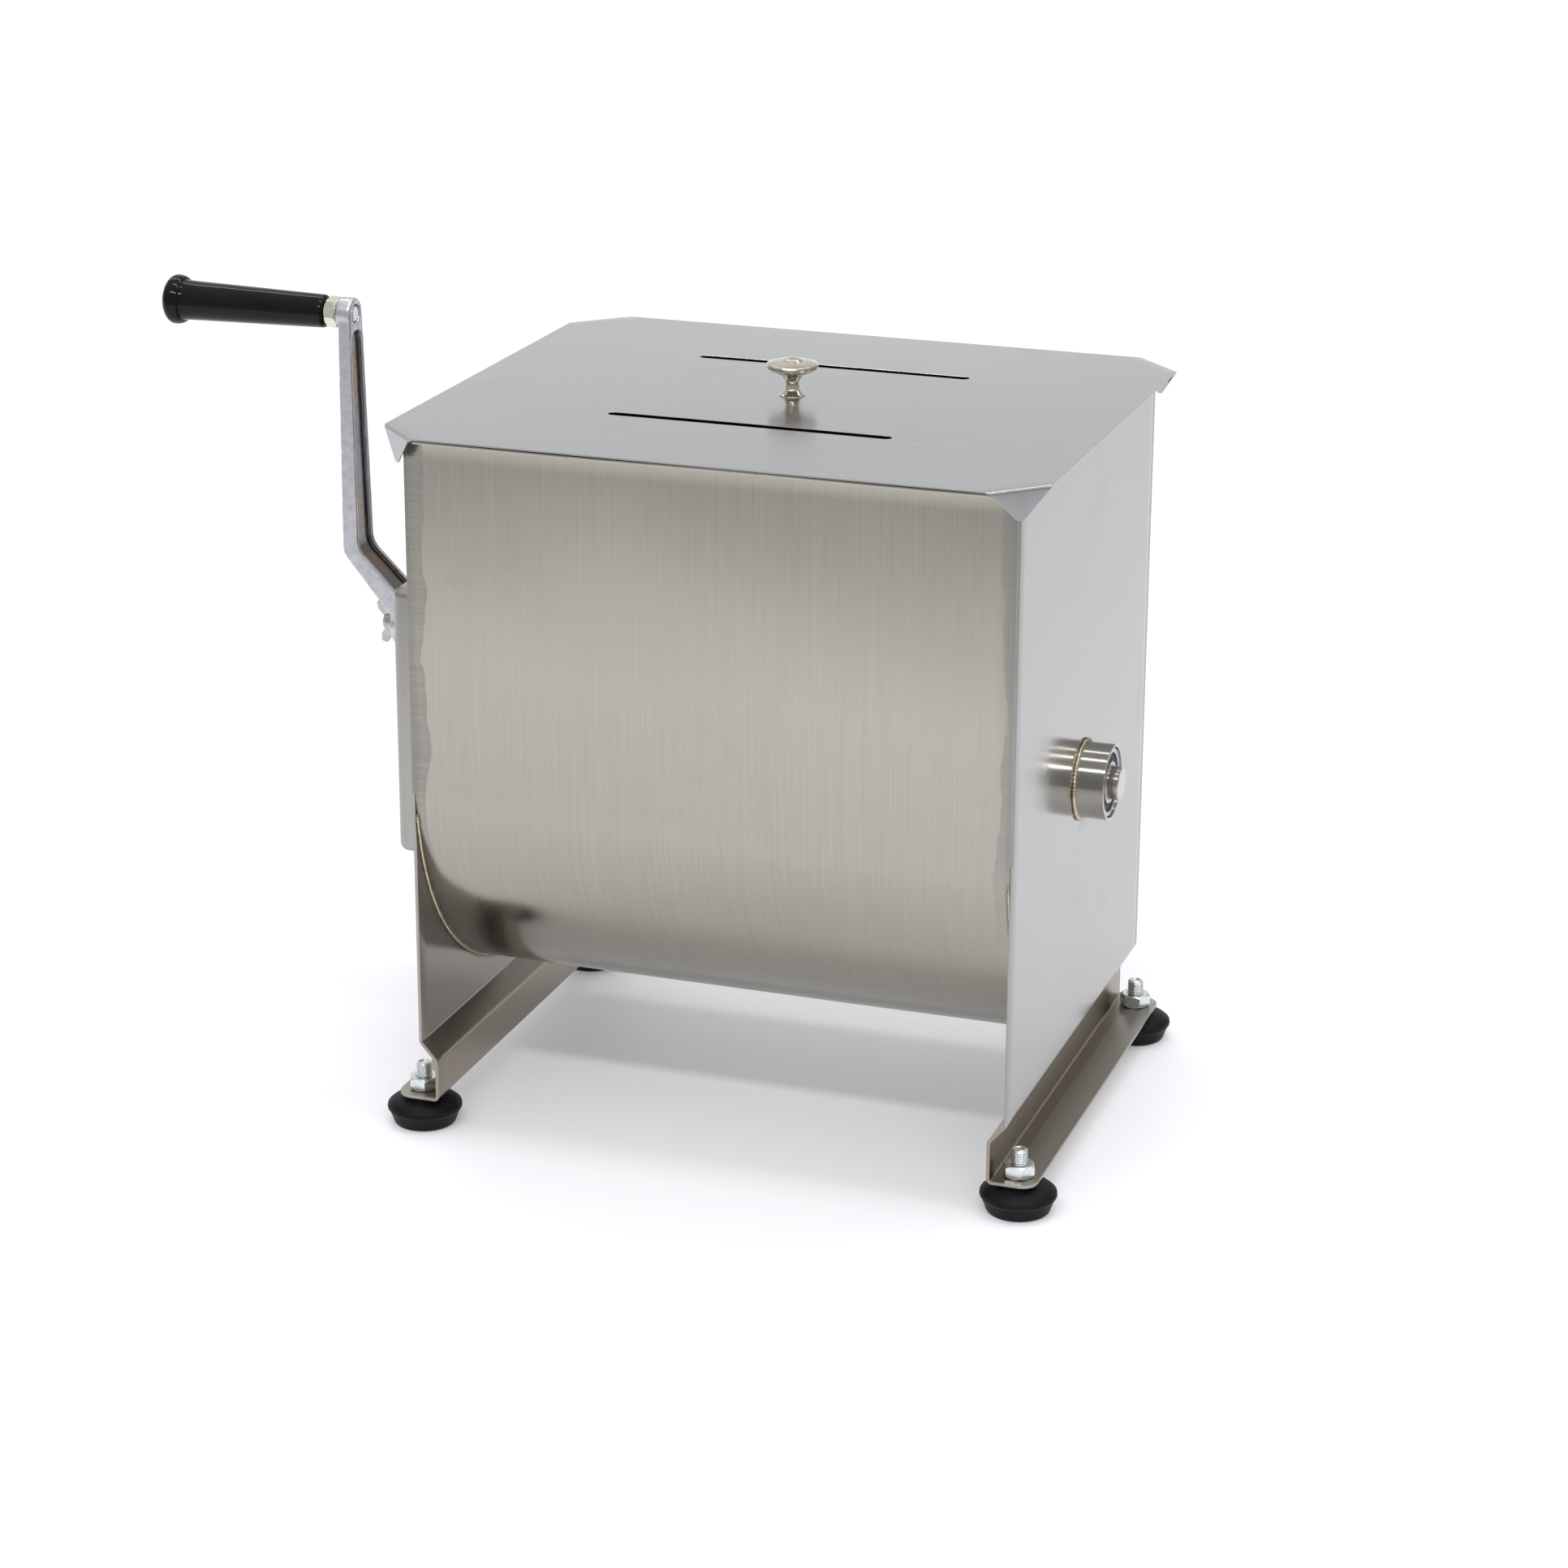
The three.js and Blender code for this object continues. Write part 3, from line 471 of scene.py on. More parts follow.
class Nodes:
    """Adds and joins the nodes of one tree."""

    def __init__(self, tree: bpy.types.NodeTree) -> None:
        """Works on an empty tree."""
        self.tree = tree

    def feed(self, node: bpy.types.Node, **sockets: object) -> None:
        """Sets or links a node's inputs.

        Args:
            node: the node to feed.
            sockets: a value or a wire for each input, by its name, or by its number after an underscore.
        """
        for key, value in sockets.items():
            label = key[1:] if key.startswith("_") else key.replace("_", " ")
            target = node.inputs[int(label)] if label.isdigit() else node.inputs[label]
            if isinstance(value, Wire):
                self.tree.links.new(value.socket, target)
            else:
                target.default_value = value

    def node(self, kind: str, settings: dict | None = None, **sockets: object) -> bpy.types.Node:
        """Adds a node.

        Args:
            kind: Blender's name for the node.
            settings: its properties.
            sockets: its inputs, as for feed.

        Returns:
            The new node.
        """
        made = self.tree.nodes.new(kind)
        for key, value in (settings or {}).items():
            setattr(made, key, value)
        self.feed(made, **sockets)
        return made

    def wire(self, kind: str, settings: dict | None = None, output: int | str = 0, **sockets: object) -> Wire:
        """Adds a node and takes one of its outputs.

        Args:
            kind: Blender's name for the node.
            settings: its properties.
            output: the output's number or name.
            sockets: its inputs, as for feed.

        Returns:
            The chosen output.
        """
        return Wire(self, self.node(kind, settings, **sockets).outputs[output])

    def group(self, tree: "NamedTree", **sockets: object) -> dict[str, Wire]:
        """Places a shared group.

        Args:
            tree: the group.
            sockets: its inputs, as for feed.

        Returns:
            The group's outputs by name.
        """
        made = self.node("ShaderNodeGroup", {"node_tree": tree.tree}, **sockets)
        return {output.name: Wire(self, output) for output in made.outputs}

    def maths(self, operation: str, a: object, b: object = 0.0, clamp: bool = False) -> Wire:
        """One sum on two numbers or wires."""
        return self.wire("ShaderNodeMath", {"operation": operation, "use_clamp": clamp}, _0=a, _1=b)

    def vector(self, operation: str, a: object, b: object) -> Wire:
        """One sum on two vectors."""
        return self.wire("ShaderNodeVectorMath", {"operation": operation}, _0=a, _1=b)

    def scaled(self, vector: object, scale: object) -> Wire:
        """A vector times a number."""
        return self.wire("ShaderNodeVectorMath", {"operation": "SCALE"}, _0=vector, Scale=scale)

    def span(self, value: object, low: float, high: float, to_low: float = 0.0, to_high: float = 1.0,
             smooth: bool = False) -> Wire:
        """Maps a value from one range to another and keeps it inside.

        Args:
            value: the number or wire to map.
            low: where the first range starts.
            high: where the first range ends.
            to_low: where the second range starts.
            to_high: where the second range ends.
            smooth: eases both ends.

        Returns:
            The mapped value.
        """
        settings = {"interpolation_type": "SMOOTHSTEP" if smooth else "LINEAR", "clamp": True}
        return self.wire("ShaderNodeMapRange", settings, _0=value, _1=low, _2=high, _3=to_low, _4=to_high)

    def mix(self, factor: object, low: object, high: object, blend: str = "MIX") -> Wire:
        """Blends two colours.

        Args:
            factor: the share of the second colour.
            low: the first colour.
            high: the second colour.
            blend: how they meet.

        Returns:
            The blend.
        """
        a, b = ((*c[:3], 1.0) if isinstance(c, tuple) else c for c in (low, high))
        return self.wire("ShaderNodeMix", {"data_type": "RGBA", "blend_type": blend}, 2, _0=factor, _6=a, _7=b)

    def times(self, factor: object, colour: object, tone: object) -> Wire:
        """Multiplies a colour by a tone, as far as a factor says."""
        return self.mix(factor, colour, tone, "MULTIPLY")

    def noise(self, vector: object, scale: float, detail: float = 2.0, roughness: float = 0.5) -> Wire:
        """Cloud noise from 0 to 1."""
        return self.wire("ShaderNodeTexNoise", Vector=vector, Scale=scale, Detail=detail, Roughness=roughness)

    def streaks(self, vector: object, stretch: object, detail: float = 2.0, roughness: float = 0.5) -> Wire:
        """Cloud noise with its own scale along each axis."""
        return self.noise(self.vector("MULTIPLY", vector, stretch), 1.0, detail, roughness)

    def cells(self, vector: object, scale: float) -> bpy.types.Node:
        """Scattered cells."""
        return self.node("ShaderNodeTexVoronoi", {"feature": "F1"}, Vector=vector, Scale=scale)

    def parts(self, vector: object) -> tuple[Wire, ...]:
        """The X, Y and Z of a vector."""
        return tuple(Wire(self, part) for part in self.node("ShaderNodeSeparateXYZ", Vector=vector).outputs)

    def bump(self, height: Wire, distance: float, strength: float = 1.0, **under: Wire) -> Wire:
        """A bump from a height, on top of another bump given as Normal."""
        return self.wire("ShaderNodeBump", Strength=strength, Distance=distance, Height=height, **under)

    def here(self) -> Wire:
        """The point on the piece, in metres."""
        return self.wire("ShaderNodeTexCoord", output="Object")


class NamedTree(Nodes):
    """A node tree with named inputs and outputs."""

    def __init__(self, name: str, kind: str, inputs: dict[str, str], outputs: dict[str, str]) -> None:
        """Starts the tree.

        Args:
            name: the tree's name.
            kind: Blender's name for this kind of tree.
            inputs: the sort of socket for each input.
            outputs: the sort of socket for each output.
        """
        super().__init__(bpy.data.node_groups.new(name, kind))
        face = self.tree.interface
        made = [face.new_socket(name=label, in_out="INPUT", socket_type="NodeSocket" + sort)
                for label, sort in inputs.items()]
        self.keys = {socket.name: socket.identifier for socket in made}
        for label, sort in outputs.items():
            face.new_socket(name=label, in_out="OUTPUT", socket_type="NodeSocket" + sort)
        self.source, self.sink = self.node("NodeGroupInput"), self.node("NodeGroupOutput")

    def given(self, label: str) -> Wire:
        """The wire that carries one of the tree's inputs."""
        return Wire(self, self.source.outputs[label])


class GeometryTree(NamedTree):
    """A geometry node tree that is put on a piece and baked."""

    def __init__(self, name: str, **inputs: str) -> None:
        """Starts a tree whose first input and only output are the geometry.

        Args:
            name: the tree's name.
            inputs: the sort of socket for each further input, with underscores for spaces.
        """
        named = {label.replace("_", " "): sort for label, sort in inputs.items()}
        super().__init__(name, "GeometryNodeTree", {"Geometry": "Geometry", **named}, {"Geometry": "Geometry"})

    def end(self, geometry: Wire) -> None:
        """Ends the tree in Realize Instances and Set Material."""
        real = self.wire("GeometryNodeRealizeInstances", Geometry=geometry)
        finish = self.given("Finish")
        self.feed(self.sink, Geometry=self.wire("GeometryNodeSetMaterial", Geometry=real, Material=finish))

    def bake(self, piece: Piece, values: dict[str, object], smooth_angle: float = 30.0) -> Piece:
        """Runs the tree on a piece and keeps the result as a plain mesh.

        Args:
            piece: what the tree starts from.
            values: the value of each input.
            smooth_angle: edges sharper than this, in degrees, stay crisp.

        Returns:
            The same piece.
        """
        modifier = piece.modifiers.new("shape", "NODES")
        modifier.node_group = self.tree
        for label, value in values.items():
            modifier[self.keys[label]] = value
        piece.update_tag()
        return bake_modifiers(piece, smooth_angle)


@functools.cache
def copies_tree() -> GeometryTree:
    """Sets a copy of one piece at each point, turned by a step and by chance."""
    tree = GeometryTree("copies_at_points", Piece="Object", Turn_Step="Vector", Chance_Turn="Vector",
                        Seed="Int", Finish="Material")
    step = tree.scaled(tree.given("Turn Step"), tree.wire("GeometryNodeInputIndex"))
    chance = tree.wire("FunctionNodeRandomValue", {"data_type": "FLOAT_VECTOR"}, _0=(-1.0, -1.0, -1.0),
                       _1=(1.0, 1.0, 1.0), Seed=tree.given("Seed"))
    turn = tree.vector("ADD", step, tree.vector("MULTIPLY", chance, tree.given("Chance Turn")))
    piece = tree.wire("GeometryNodeObjectInfo", output="Geometry", Object=tree.given("Piece"))
    tree.end(tree.wire("GeometryNodeInstanceOnPoints", Points=tree.given("Geometry"), Instance=piece,
                       Rotation=turn))
    return tree


@functools.cache
def weld_tree() -> GeometryTree:
    """A weld bead along a line: a round section that swells with each ripple and wanders a little."""
    tree = GeometryTree("weld_bead", Bead_Radius="Float", Ripple_Pitch="Float", Ripple_Depth="Float",
                        Wander="Float", Open_Ends="Float", Seed="Int", Finish="Material")
    steps_per_ripple, end_taper, end_size, roundness, unevenness = 7.0, 90.0, 0.25, 1.7, 0.3
    line = tree.wire("GeometryNodeMeshToCurve", Mesh=tree.given("Geometry"))
    fine = tree.wire("GeometryNodeResampleCurve", {"mode": "LENGTH"}, Curve=line,
                     Length=tree.given("Ripple Pitch") / steps_per_ripple)
    along = tree.node("GeometryNodeSplineParameter").outputs
    share, length = Wire(tree, along["Factor"]), Wire(tree, along["Length"])
    rising = tree.maths("MINIMUM", tree.maths("MINIMUM", share, 1.0 - share) * end_taper + end_size, 1.0)
    ends = (rising - 1.0) * tree.given("Open Ends") + 1.0
    ripple = tree.maths("FRACT", length / tree.given("Ripple Pitch"))
    swell = tree.maths("POWER", ripple, roundness) * tree.given("Ripple Depth")
    position = tree.wire("GeometryNodeInputPosition")
    rough = tree.node("ShaderNodeTexNoise", {"noise_dimensions": "4D"}, Vector=position, W=tree.given("Seed"),
                      Scale=160.0, Detail=2.0).outputs
    uneven = swell + 0.9 + (Wire(tree, rough[0]) - 0.5) * unevenness
    shake = tree.vector("SUBTRACT", Wire(tree, rough["Color"]), (0.5, 0.5, 0.5))
    moved = tree.wire("GeometryNodeSetPosition", Geometry=fine, Offset=tree.scaled(shake, tree.given("Wander")))
    radius = uneven * ends * tree.given("Bead Radius")
    sized = tree.wire("GeometryNodeSetCurveRadius", Curve=moved, Radius=radius)
    section = tree.wire("GeometryNodeCurvePrimitiveCircle", Resolution=12, Radius=1.0)
    tree.end(tree.wire("GeometryNodeCurveToMesh", Curve=sized, Profile_Curve=section, Fill_Caps=True,
                       Scale=tree.wire("GeometryNodeInputRadius")))
    return tree


def points_object(name: str, points: Sequence[Vector], closed_line: bool | None = None) -> Piece:
    """An object that holds only points.

    Args:
        name: the object's name.
        points: where they are.
        closed_line: joins them into a closed or an open line, or not at all if None.

    Returns:
        The new object.
    """
    mesh = bpy.data.meshes.new(name)
    edges = [] if closed_line is None else [(i, i + 1) for i in range(len(points) - 1)]
    if closed_line:
        edges.append((len(points) - 1, 0))
    mesh.from_pydata([tuple(p) for p in points], edges, [])
    return linked(name, mesh)


def set_copies(name: str, source: Piece, points: Sequence[Vector], finish: Material, step: Vector = Vector(),
               chance: Vector = Vector(), seed: int = 1) -> Piece:
    """Copies a source piece to each point as one mesh, and removes the source.

    Args:
        name: the new piece's name.
        source: what is copied.
        points: where the copies go.
        finish: their material.
        step: how far each copy is turned on from the last, in radians about each axis.
        chance: the most that chance turns a copy either way.
        seed: fixes the chance.

    Returns:
        The new piece.
    """
    holder = points_object(name, points)
    values = {"Piece": source, "Turn Step": step, "Chance Turn": chance, "Seed": seed, "Finish": finish}
    copies_tree().bake(holder, values)
    drop([source])
    return holder


def lay_weld(name: str, points: Sequence[Vector], radius: float, pitch: float, seed: int,
             closed_line: bool) -> Piece:
    """Lays a weld bead along a line of points.

    Args:
        name: the bead's name.
        points: the line.
        radius: the bead's radius in metres.
        pitch: the length of a ripple.
        seed: fixes its unevenness.
        closed_line: whether the line meets itself.

    Returns:
        The bead.
    """
    values = {"Bead Radius": radius, "Ripple Pitch": pitch, "Ripple Depth": 0.28, "Wander": radius * 0.35,
              "Open Ends": 0.0 if closed_line else 1.0, "Seed": seed, "Finish": Finish.BEAD.material}
    return weld_tree().bake(points_object(name, points, closed_line), values, 60.0)


# ---------------------------------------------------------------- shared patterns


def pattern(name: str, inputs: dict[str, str], **outputs: str) -> NamedTree:
    """Starts a shader group that puts out patterns."""
    return NamedTree(name, "ShaderNodeTree", inputs, outputs)


@functools.cache
def brushed_grain() -> NamedTree:
    """Fine parallel lines from an abrasive belt, with broader streaks among them."""
    group = pattern("brushed_grain", {"Vector": "Vector", "Stretch": "Vector"}, Fine="Float", Streaks="Float")
    drawn = group.vector("MULTIPLY", group.given("Vector"), group.given("Stretch"))
    group.feed(group.sink, Fine=group.noise(drawn, 1.0, 3.0, 0.7), Streaks=group.noise(drawn, 0.3, 3.0, 0.6))
    return group


@functools.cache
def sheet_run() -> NamedTree:
    """Unrolls the wrapper: along the tub, along the sheet's run, and through its thickness."""
    group = pattern("sheet_run", {"Vector": "Vector"}, Run="Vector", Depth="Float")
    x, y, z = group.parts(group.given("Vector"))
    rise = z - SHAFT_Z
    below = group.maths("MINIMUM", rise, 0.0) * -1.0
    turn = group.maths("ARCTAN2", below, abs(y))
    run = group.maths("MAXIMUM", rise, 0.0) - turn * Tub.radius
    depth = group.maths("SQRT", y * y + below * below)
    thin = depth * 0.1 + group.maths("SIGN", y) * 2.0
    group.feed(group.sink, Run=group.wire("ShaderNodeCombineXYZ", X=x, Y=thin, Z=run), Depth=depth)
    return group


@functools.cache
def handling_marks() -> NamedTree:
    """Faint smudges and a few short scratches left by handling."""
    group = pattern("handling_marks", {"Vector": "Vector", "Seed": "Float", "Dash": "Vector"},
                    Smudge="Float", Scratch="Float")
    moved = group.vector("ADD", group.given("Vector"), group.given("Seed"))
    smudge = group.span(group.noise(moved, 14.0, 4.0, 0.6), 0.56, 0.74, smooth=True)
    cells = group.cells(group.vector("MULTIPLY", moved, group.given("Dash")), 1.0).outputs
    line = group.span(Wire(group, cells["Distance"]), 0.02, 0.07, 1.0, 0.0)
    chosen = group.span(group.parts(Wire(group, cells["Color"]))[0], 0.80, 0.82)
    group.feed(group.sink, Smudge=smudge, Scratch=line * chosen)
    return group


@functools.cache
def plating_mottle() -> NamedTree:
    """The cloudy speckle of plated or tumbled metal."""
    group = pattern("plating_mottle", {"Vector": "Vector", "Scale": "Float"}, Cloud="Float", Speckle="Float")
    vector = group.scaled(group.given("Vector"), group.given("Scale"))
    cells = Wire(group, group.cells(vector, 5.0).outputs[0])
    group.feed(group.sink, Cloud=group.noise(vector, 1.0, 5.0, 0.65), Speckle=group.span(cells, 0.1, 0.8))
    return group


@functools.cache
def tool_rings() -> NamedTree:
    """Rings left by a lathe, round an axis along X at a given height."""
    group = pattern("tool_rings", {"Vector": "Vector", "Axis Height": "Float", "Pitch": "Float"},
                    Rings="Float", Radius="Float")
    x, y, z = group.parts(group.given("Vector"))
    up = z - group.given("Axis Height")
    radius = group.maths("SQRT", y * y + up * up)
    both = group.wire("ShaderNodeCombineXYZ", X=x, Y=radius)
    scaled = group.scaled(both, 1.0 / group.given("Pitch"))
    group.feed(group.sink, Rings=group.noise(scaled, 1.0, 3.0, 0.7), Radius=radius)
    return group


def new_material(name: str, metallic: float, ior: float = 1.5) -> tuple[Material, Nodes, bpy.types.Node]:
    """Starts a material.

    Args:
        name: the material's name.
        metallic: 1 for metal, 0 for anything else.
        ior: how strongly a surface that isn't metal reflects.

    Returns:
        The material, its nodes and its Principled shader.
    """
    material = bpy.data.materials.new(name)
    material.use_nodes = True
    material.node_tree.nodes.clear()
    nodes = Nodes(material.node_tree)
    shader = nodes.node("ShaderNodeBsdfPrincipled", Metallic=metallic, IOR=ior)
    nodes.node("ShaderNodeOutputMaterial", _0=Wire(nodes, shader.outputs[0]))
    return material, nodes, shader


def scaled_colour(colour: Colour, *shares: float) -> Colour:
    """A colour times one share, or times a share for each channel."""
    return tuple(min(1.0, c * s) for c, s in zip(colour, shares * (3 // len(shares))))


# ---------------------------------------------------------------- finishes


@dataclass(frozen=True)
class BrushedSheet:
    """Belt-brushed stainless sheet.

    Attributes:
        name: the material's name.
        colour: the metal's own colour.
        roughness: the mean roughness.
        stretch: noise scale along each axis; the grain runs along the smallest.
        contrast: how much the grain lightens and darkens.
        seam: the half length at which ground weld seams run, or 0 for none.
        weld_radius: the radius of the straw-tinted ring weld on an end plate, or 0 for none.
        seed: shifts the handling marks.
        smudge_tone: multiplies the colour in a smudge.
        ground_right: multiplies it on the ground seam at the right end.
        ground_left: the same at the left end.
        heat_tone: multiplies it beside the weld under the tub.
        rolled_tone: multiplies it towards the tub's bottom, as painted shade.
        inside_tone: multiplies it on the tub's inner face, as painted light.
        straw: the colour of the ring weld's tint.
        foot_tone: multiplies the colour of the worked foot: a warmer tint, with painted light that brightens it.
        back_tone: multiplies it on an end plate's inner face, as painted shade.
        back_heat: multiplies it there beside the wrapper's weld.
        back_light: multiplies it there inside the tub, as painted light.
    """

    name: str
    colour: Colour
    roughness: float
    stretch: tuple[float, float, float]
    contrast: float = 0.10
    seam: float = 0.0
    weld_radius: float = 0.0
    seed: float = 0.0
    smudge_tone: Colour = (0.78, 0.83, 0.9)
    ground_right: Colour = (0.80, 0.81, 0.87)
    ground_left: Colour = (0.68, 0.685, 0.72)
    heat_tone: Colour = (0.50, 0.43, 0.32)
    rolled_tone: Colour = (0.64, 0.64, 0.65)
    inside_tone: Colour = (2.1, 2.1, 2.2)
    straw: Colour = (0.40, 0.32, 0.18)
    foot_tone: Colour = (1.10, 1.05, 0.96)
    back_tone: Colour = (0.84, 0.79, 0.74)
    back_heat: Colour = (0.50, 0.42, 0.30)
    back_light: Colour = (2.1, 2.15, 2.25)

    @property
    def dash(self) -> tuple[float, ...]:
        """Cells per metre for the scratches, long in the direction of the grain."""
        return tuple(max(45.0, min(500.0, s)) for s in self.stretch)

    def make(self) -> Material:
        """Builds the material."""
        material, nodes, shader = new_material(self.name, 1.0)
        point = nodes.here()
        run = nodes.group(sheet_run(), Vector=point)["Run"] if self.seam > 0 else point
        grain = nodes.group(brushed_grain(), Vector=run, Stretch=self.stretch)
        marks = nodes.group(handling_marks(), Vector=run, Seed=self.seed, Dash=self.dash)
        shade = (grain["Fine"] - 0.5) * self.contrast + (grain["Streaks"] - 0.5) * (self.contrast * 0.45)
        dark, light = scaled_colour(self.colour, 0.55), scaled_colour(self.colour, 1.45)
        colour = nodes.mix(nodes.maths("ADD", shade, 0.5, clamp=True), dark, light)
        colour = nodes.mix(marks["Smudge"] * 0.10, colour, scaled_colour(self.colour, *self.smudge_tone))
        colour = nodes.mix(marks["Scratch"] * 0.2, colour, dark)
        rough = shade * 0.3 + self.roughness + marks["Smudge"] * 0.05
        if self.seam > 0:
            colour, rough = self.grind_seams(nodes, point, colour, rough)
        if self.weld_radius > 0:
            colour, rough = self.work_plate(nodes, point, colour, rough)
        waves = nodes.bump(nodes.noise(point, 7.0, 1.0), 0.0006, 0.5)
        normal = nodes.bump(grain["Fine"], 0.00002, 0.35, Normal=waves)
        nodes.feed(shader, Base_Color=colour, Roughness=rough, Normal=normal)
        return material

    def grind_seams(self, nodes: Nodes, point: Wire, colour: Wire, rough: Wire) -> tuple[Wire, Wire]:
        """Adds the ground weld seams along both ends, painted shade that darkens the bottom and painted light that
        brightens the inside.

        Args:
            nodes: the material's nodes.
            point: the point on the piece.
            colour: the colour so far.
            rough: the roughness so far.

        Returns:
            The new colour and roughness.
        """
        x, _, z = nodes.parts(point)
        inward = self.seam - abs(x - CENTRE_X)
        width = nodes.span(nodes.streaks(point, (2.0, 2.0, 14.0), 3.0), 0.36, 0.64, 0.0035, 0.0115)
        share = inward / width
        across = nodes.streaks(point, (30.0, 30.0, 700.0))
        core = nodes.span(share, 0.9, 1.0, 1.0, 0.0, smooth=True) * nodes.span(across, 0.3, 0.7, 0.5, 0.8)
        halo = nodes.span(share, 0.1, 0.55, 1.0, 0.0, smooth=True) * 0.25
        band = (core + halo) * nodes.span(z, SHAFT_Z - 0.06, SHAFT_Z, 0.2, 1.0)
        left = nodes.span(x, CENTRE_X - 0.01, CENTRE_X + 0.01, 1.0, 0.0)
        colour = nodes.times(band, colour, nodes.mix(left, self.ground_right, self.ground_left))
        # painted shade: the wrapper's colour darkens towards the tub's bottom
        colour = nodes.times(nodes.span(z, 0.065, 0.30, 1.0, 0.0), colour, self.rolled_tone)
        depth = nodes.group(sheet_run(), Vector=point)["Depth"]
        inside = nodes.span(depth, Tub.radius - 0.0012, Tub.radius - 0.0008, 1.0, 0.0)
        # painted light: the tub's inner face is brightened about twofold
        colour = nodes.times(inside, colour, self.inside_tone)
        below = nodes.span(z, SHAFT_Z - 0.02, SHAFT_Z - 0.012, 1.0, 0.0)
        heat = nodes.span(inward, 0.0008, 0.0030, 1.0, 0.0, smooth=True) * below
        return nodes.times(heat, colour, self.heat_tone), rough + band * 0.14

    def work_plate(self, nodes: Nodes, point: Wire, colour: Wire, rough: Wire) -> tuple[Wire, Wire]:
        """Adds the straw ring round the bearing tube, the worked foot with painted light, painted shade on the inner
        face, the heat of the wrapper's weld and painted light inside the tub.

        Args:
            nodes: the material's nodes.
            point: the point on the piece.
            colour: the colour so far.
            rough: the roughness so far.

        Returns:
            The new colour and roughness.
        """
        x, _, z = nodes.parts(point)
        radius = nodes.group(tool_rings(), Vector=point, Axis_Height=SHAFT_Z, Pitch=0.001)["Radius"]
        ring = nodes.span(abs(radius - self.weld_radius), 0.0012, 0.0042, 0.75, 0.0, smooth=True)
        colour = nodes.mix(ring, colour, self.straw)
        low = nodes.span(z, 0.044, 0.060, 1.0, 0.0, smooth=True)
        # the worked foot is tinted warmer and brightened with painted light
        colour = nodes.times(low, colour, self.foot_tone)
        back = nodes.span(abs(x - CENTRE_X), 0.1834, 0.1838, 1.0, 0.0)
        # painted shade: the end plate's inner face is darkened
        colour = nodes.times(back, colour, self.back_tone)
        heat = nodes.span(abs(radius - Tub.radius), 0.0012, 0.0040, 1.0, 0.0, smooth=True) * back
        colour = nodes.times(heat, colour, self.back_heat)
        # painted light: the inner face inside the tub is brightened about twofold
        inside = nodes.maths("MAXIMUM", nodes.span(radius, 0.148, 0.1495, 1.0, 0.0),
                             nodes.span(z, SHAFT_Z - 0.001, SHAFT_Z))
        return nodes.times(inside * back, colour, self.back_light), rough + low * 0.15


@dataclass(frozen=True)
class WeldBead:
    """A bare weld with a straw and brown heat tint."""

    name: str
    colour: Colour = (0.58, 0.53, 0.43)
    tint: Colour = (0.42, 0.35, 0.22)

    def make(self) -> Material:
        """Builds the material."""
        material, nodes, shader = new_material(self.name, 1.0)
        point = nodes.here()
        cloud = nodes.noise(point, 240.0, 3.0, 0.6)
        nodes.feed(shader, Base_Color=nodes.mix(nodes.span(cloud, 0.4, 0.68), self.colour, self.tint),
                   Roughness=nodes.span(cloud, 0.3, 0.7, 0.22, 0.42),
                   Normal=nodes.bump(nodes.noise(point, 900.0), 0.00008, 0.5))
        return material


@dataclass(frozen=True)
class TurnedMetal:
    """Steel with fine lathe rings about an axis along X.

    Attributes:
        name: the material's name.
        colour: the metal's own colour.
        roughness: the mean roughness.
        axis_height: how high the axis lies.
        pitch: the size of the rings in metres.
        contrast: how much they lighten and darken.
    """

    name: str
    colour: Colour
    roughness: float
    axis_height: float
    pitch: float = 0.0004
    contrast: float = 0.12

    def make(self) -> Material:
        """Builds the material."""
        material, nodes, shader = new_material(self.name, 1.0)
        point = nodes.here()
        rings = nodes.group(tool_rings(), Vector=point, Axis_Height=self.axis_height, Pitch=self.pitch)["Rings"]
        smudge = nodes.group(handling_marks(), Vector=point, Seed=3.0)["Smudge"]
        shade = (rings - 0.5) * self.contrast
        dark, light = scaled_colour(self.colour, 0.6), scaled_colour(self.colour, 1.4)
        nodes.feed(shader, Roughness=smudge * 0.08 + self.roughness + shade * 0.6,
                   Base_Color=nodes.mix(nodes.maths("ADD", shade, 0.5, clamp=True), dark, light),
                   Normal=nodes.bump(rings, 0.00002, 0.5))
        return material


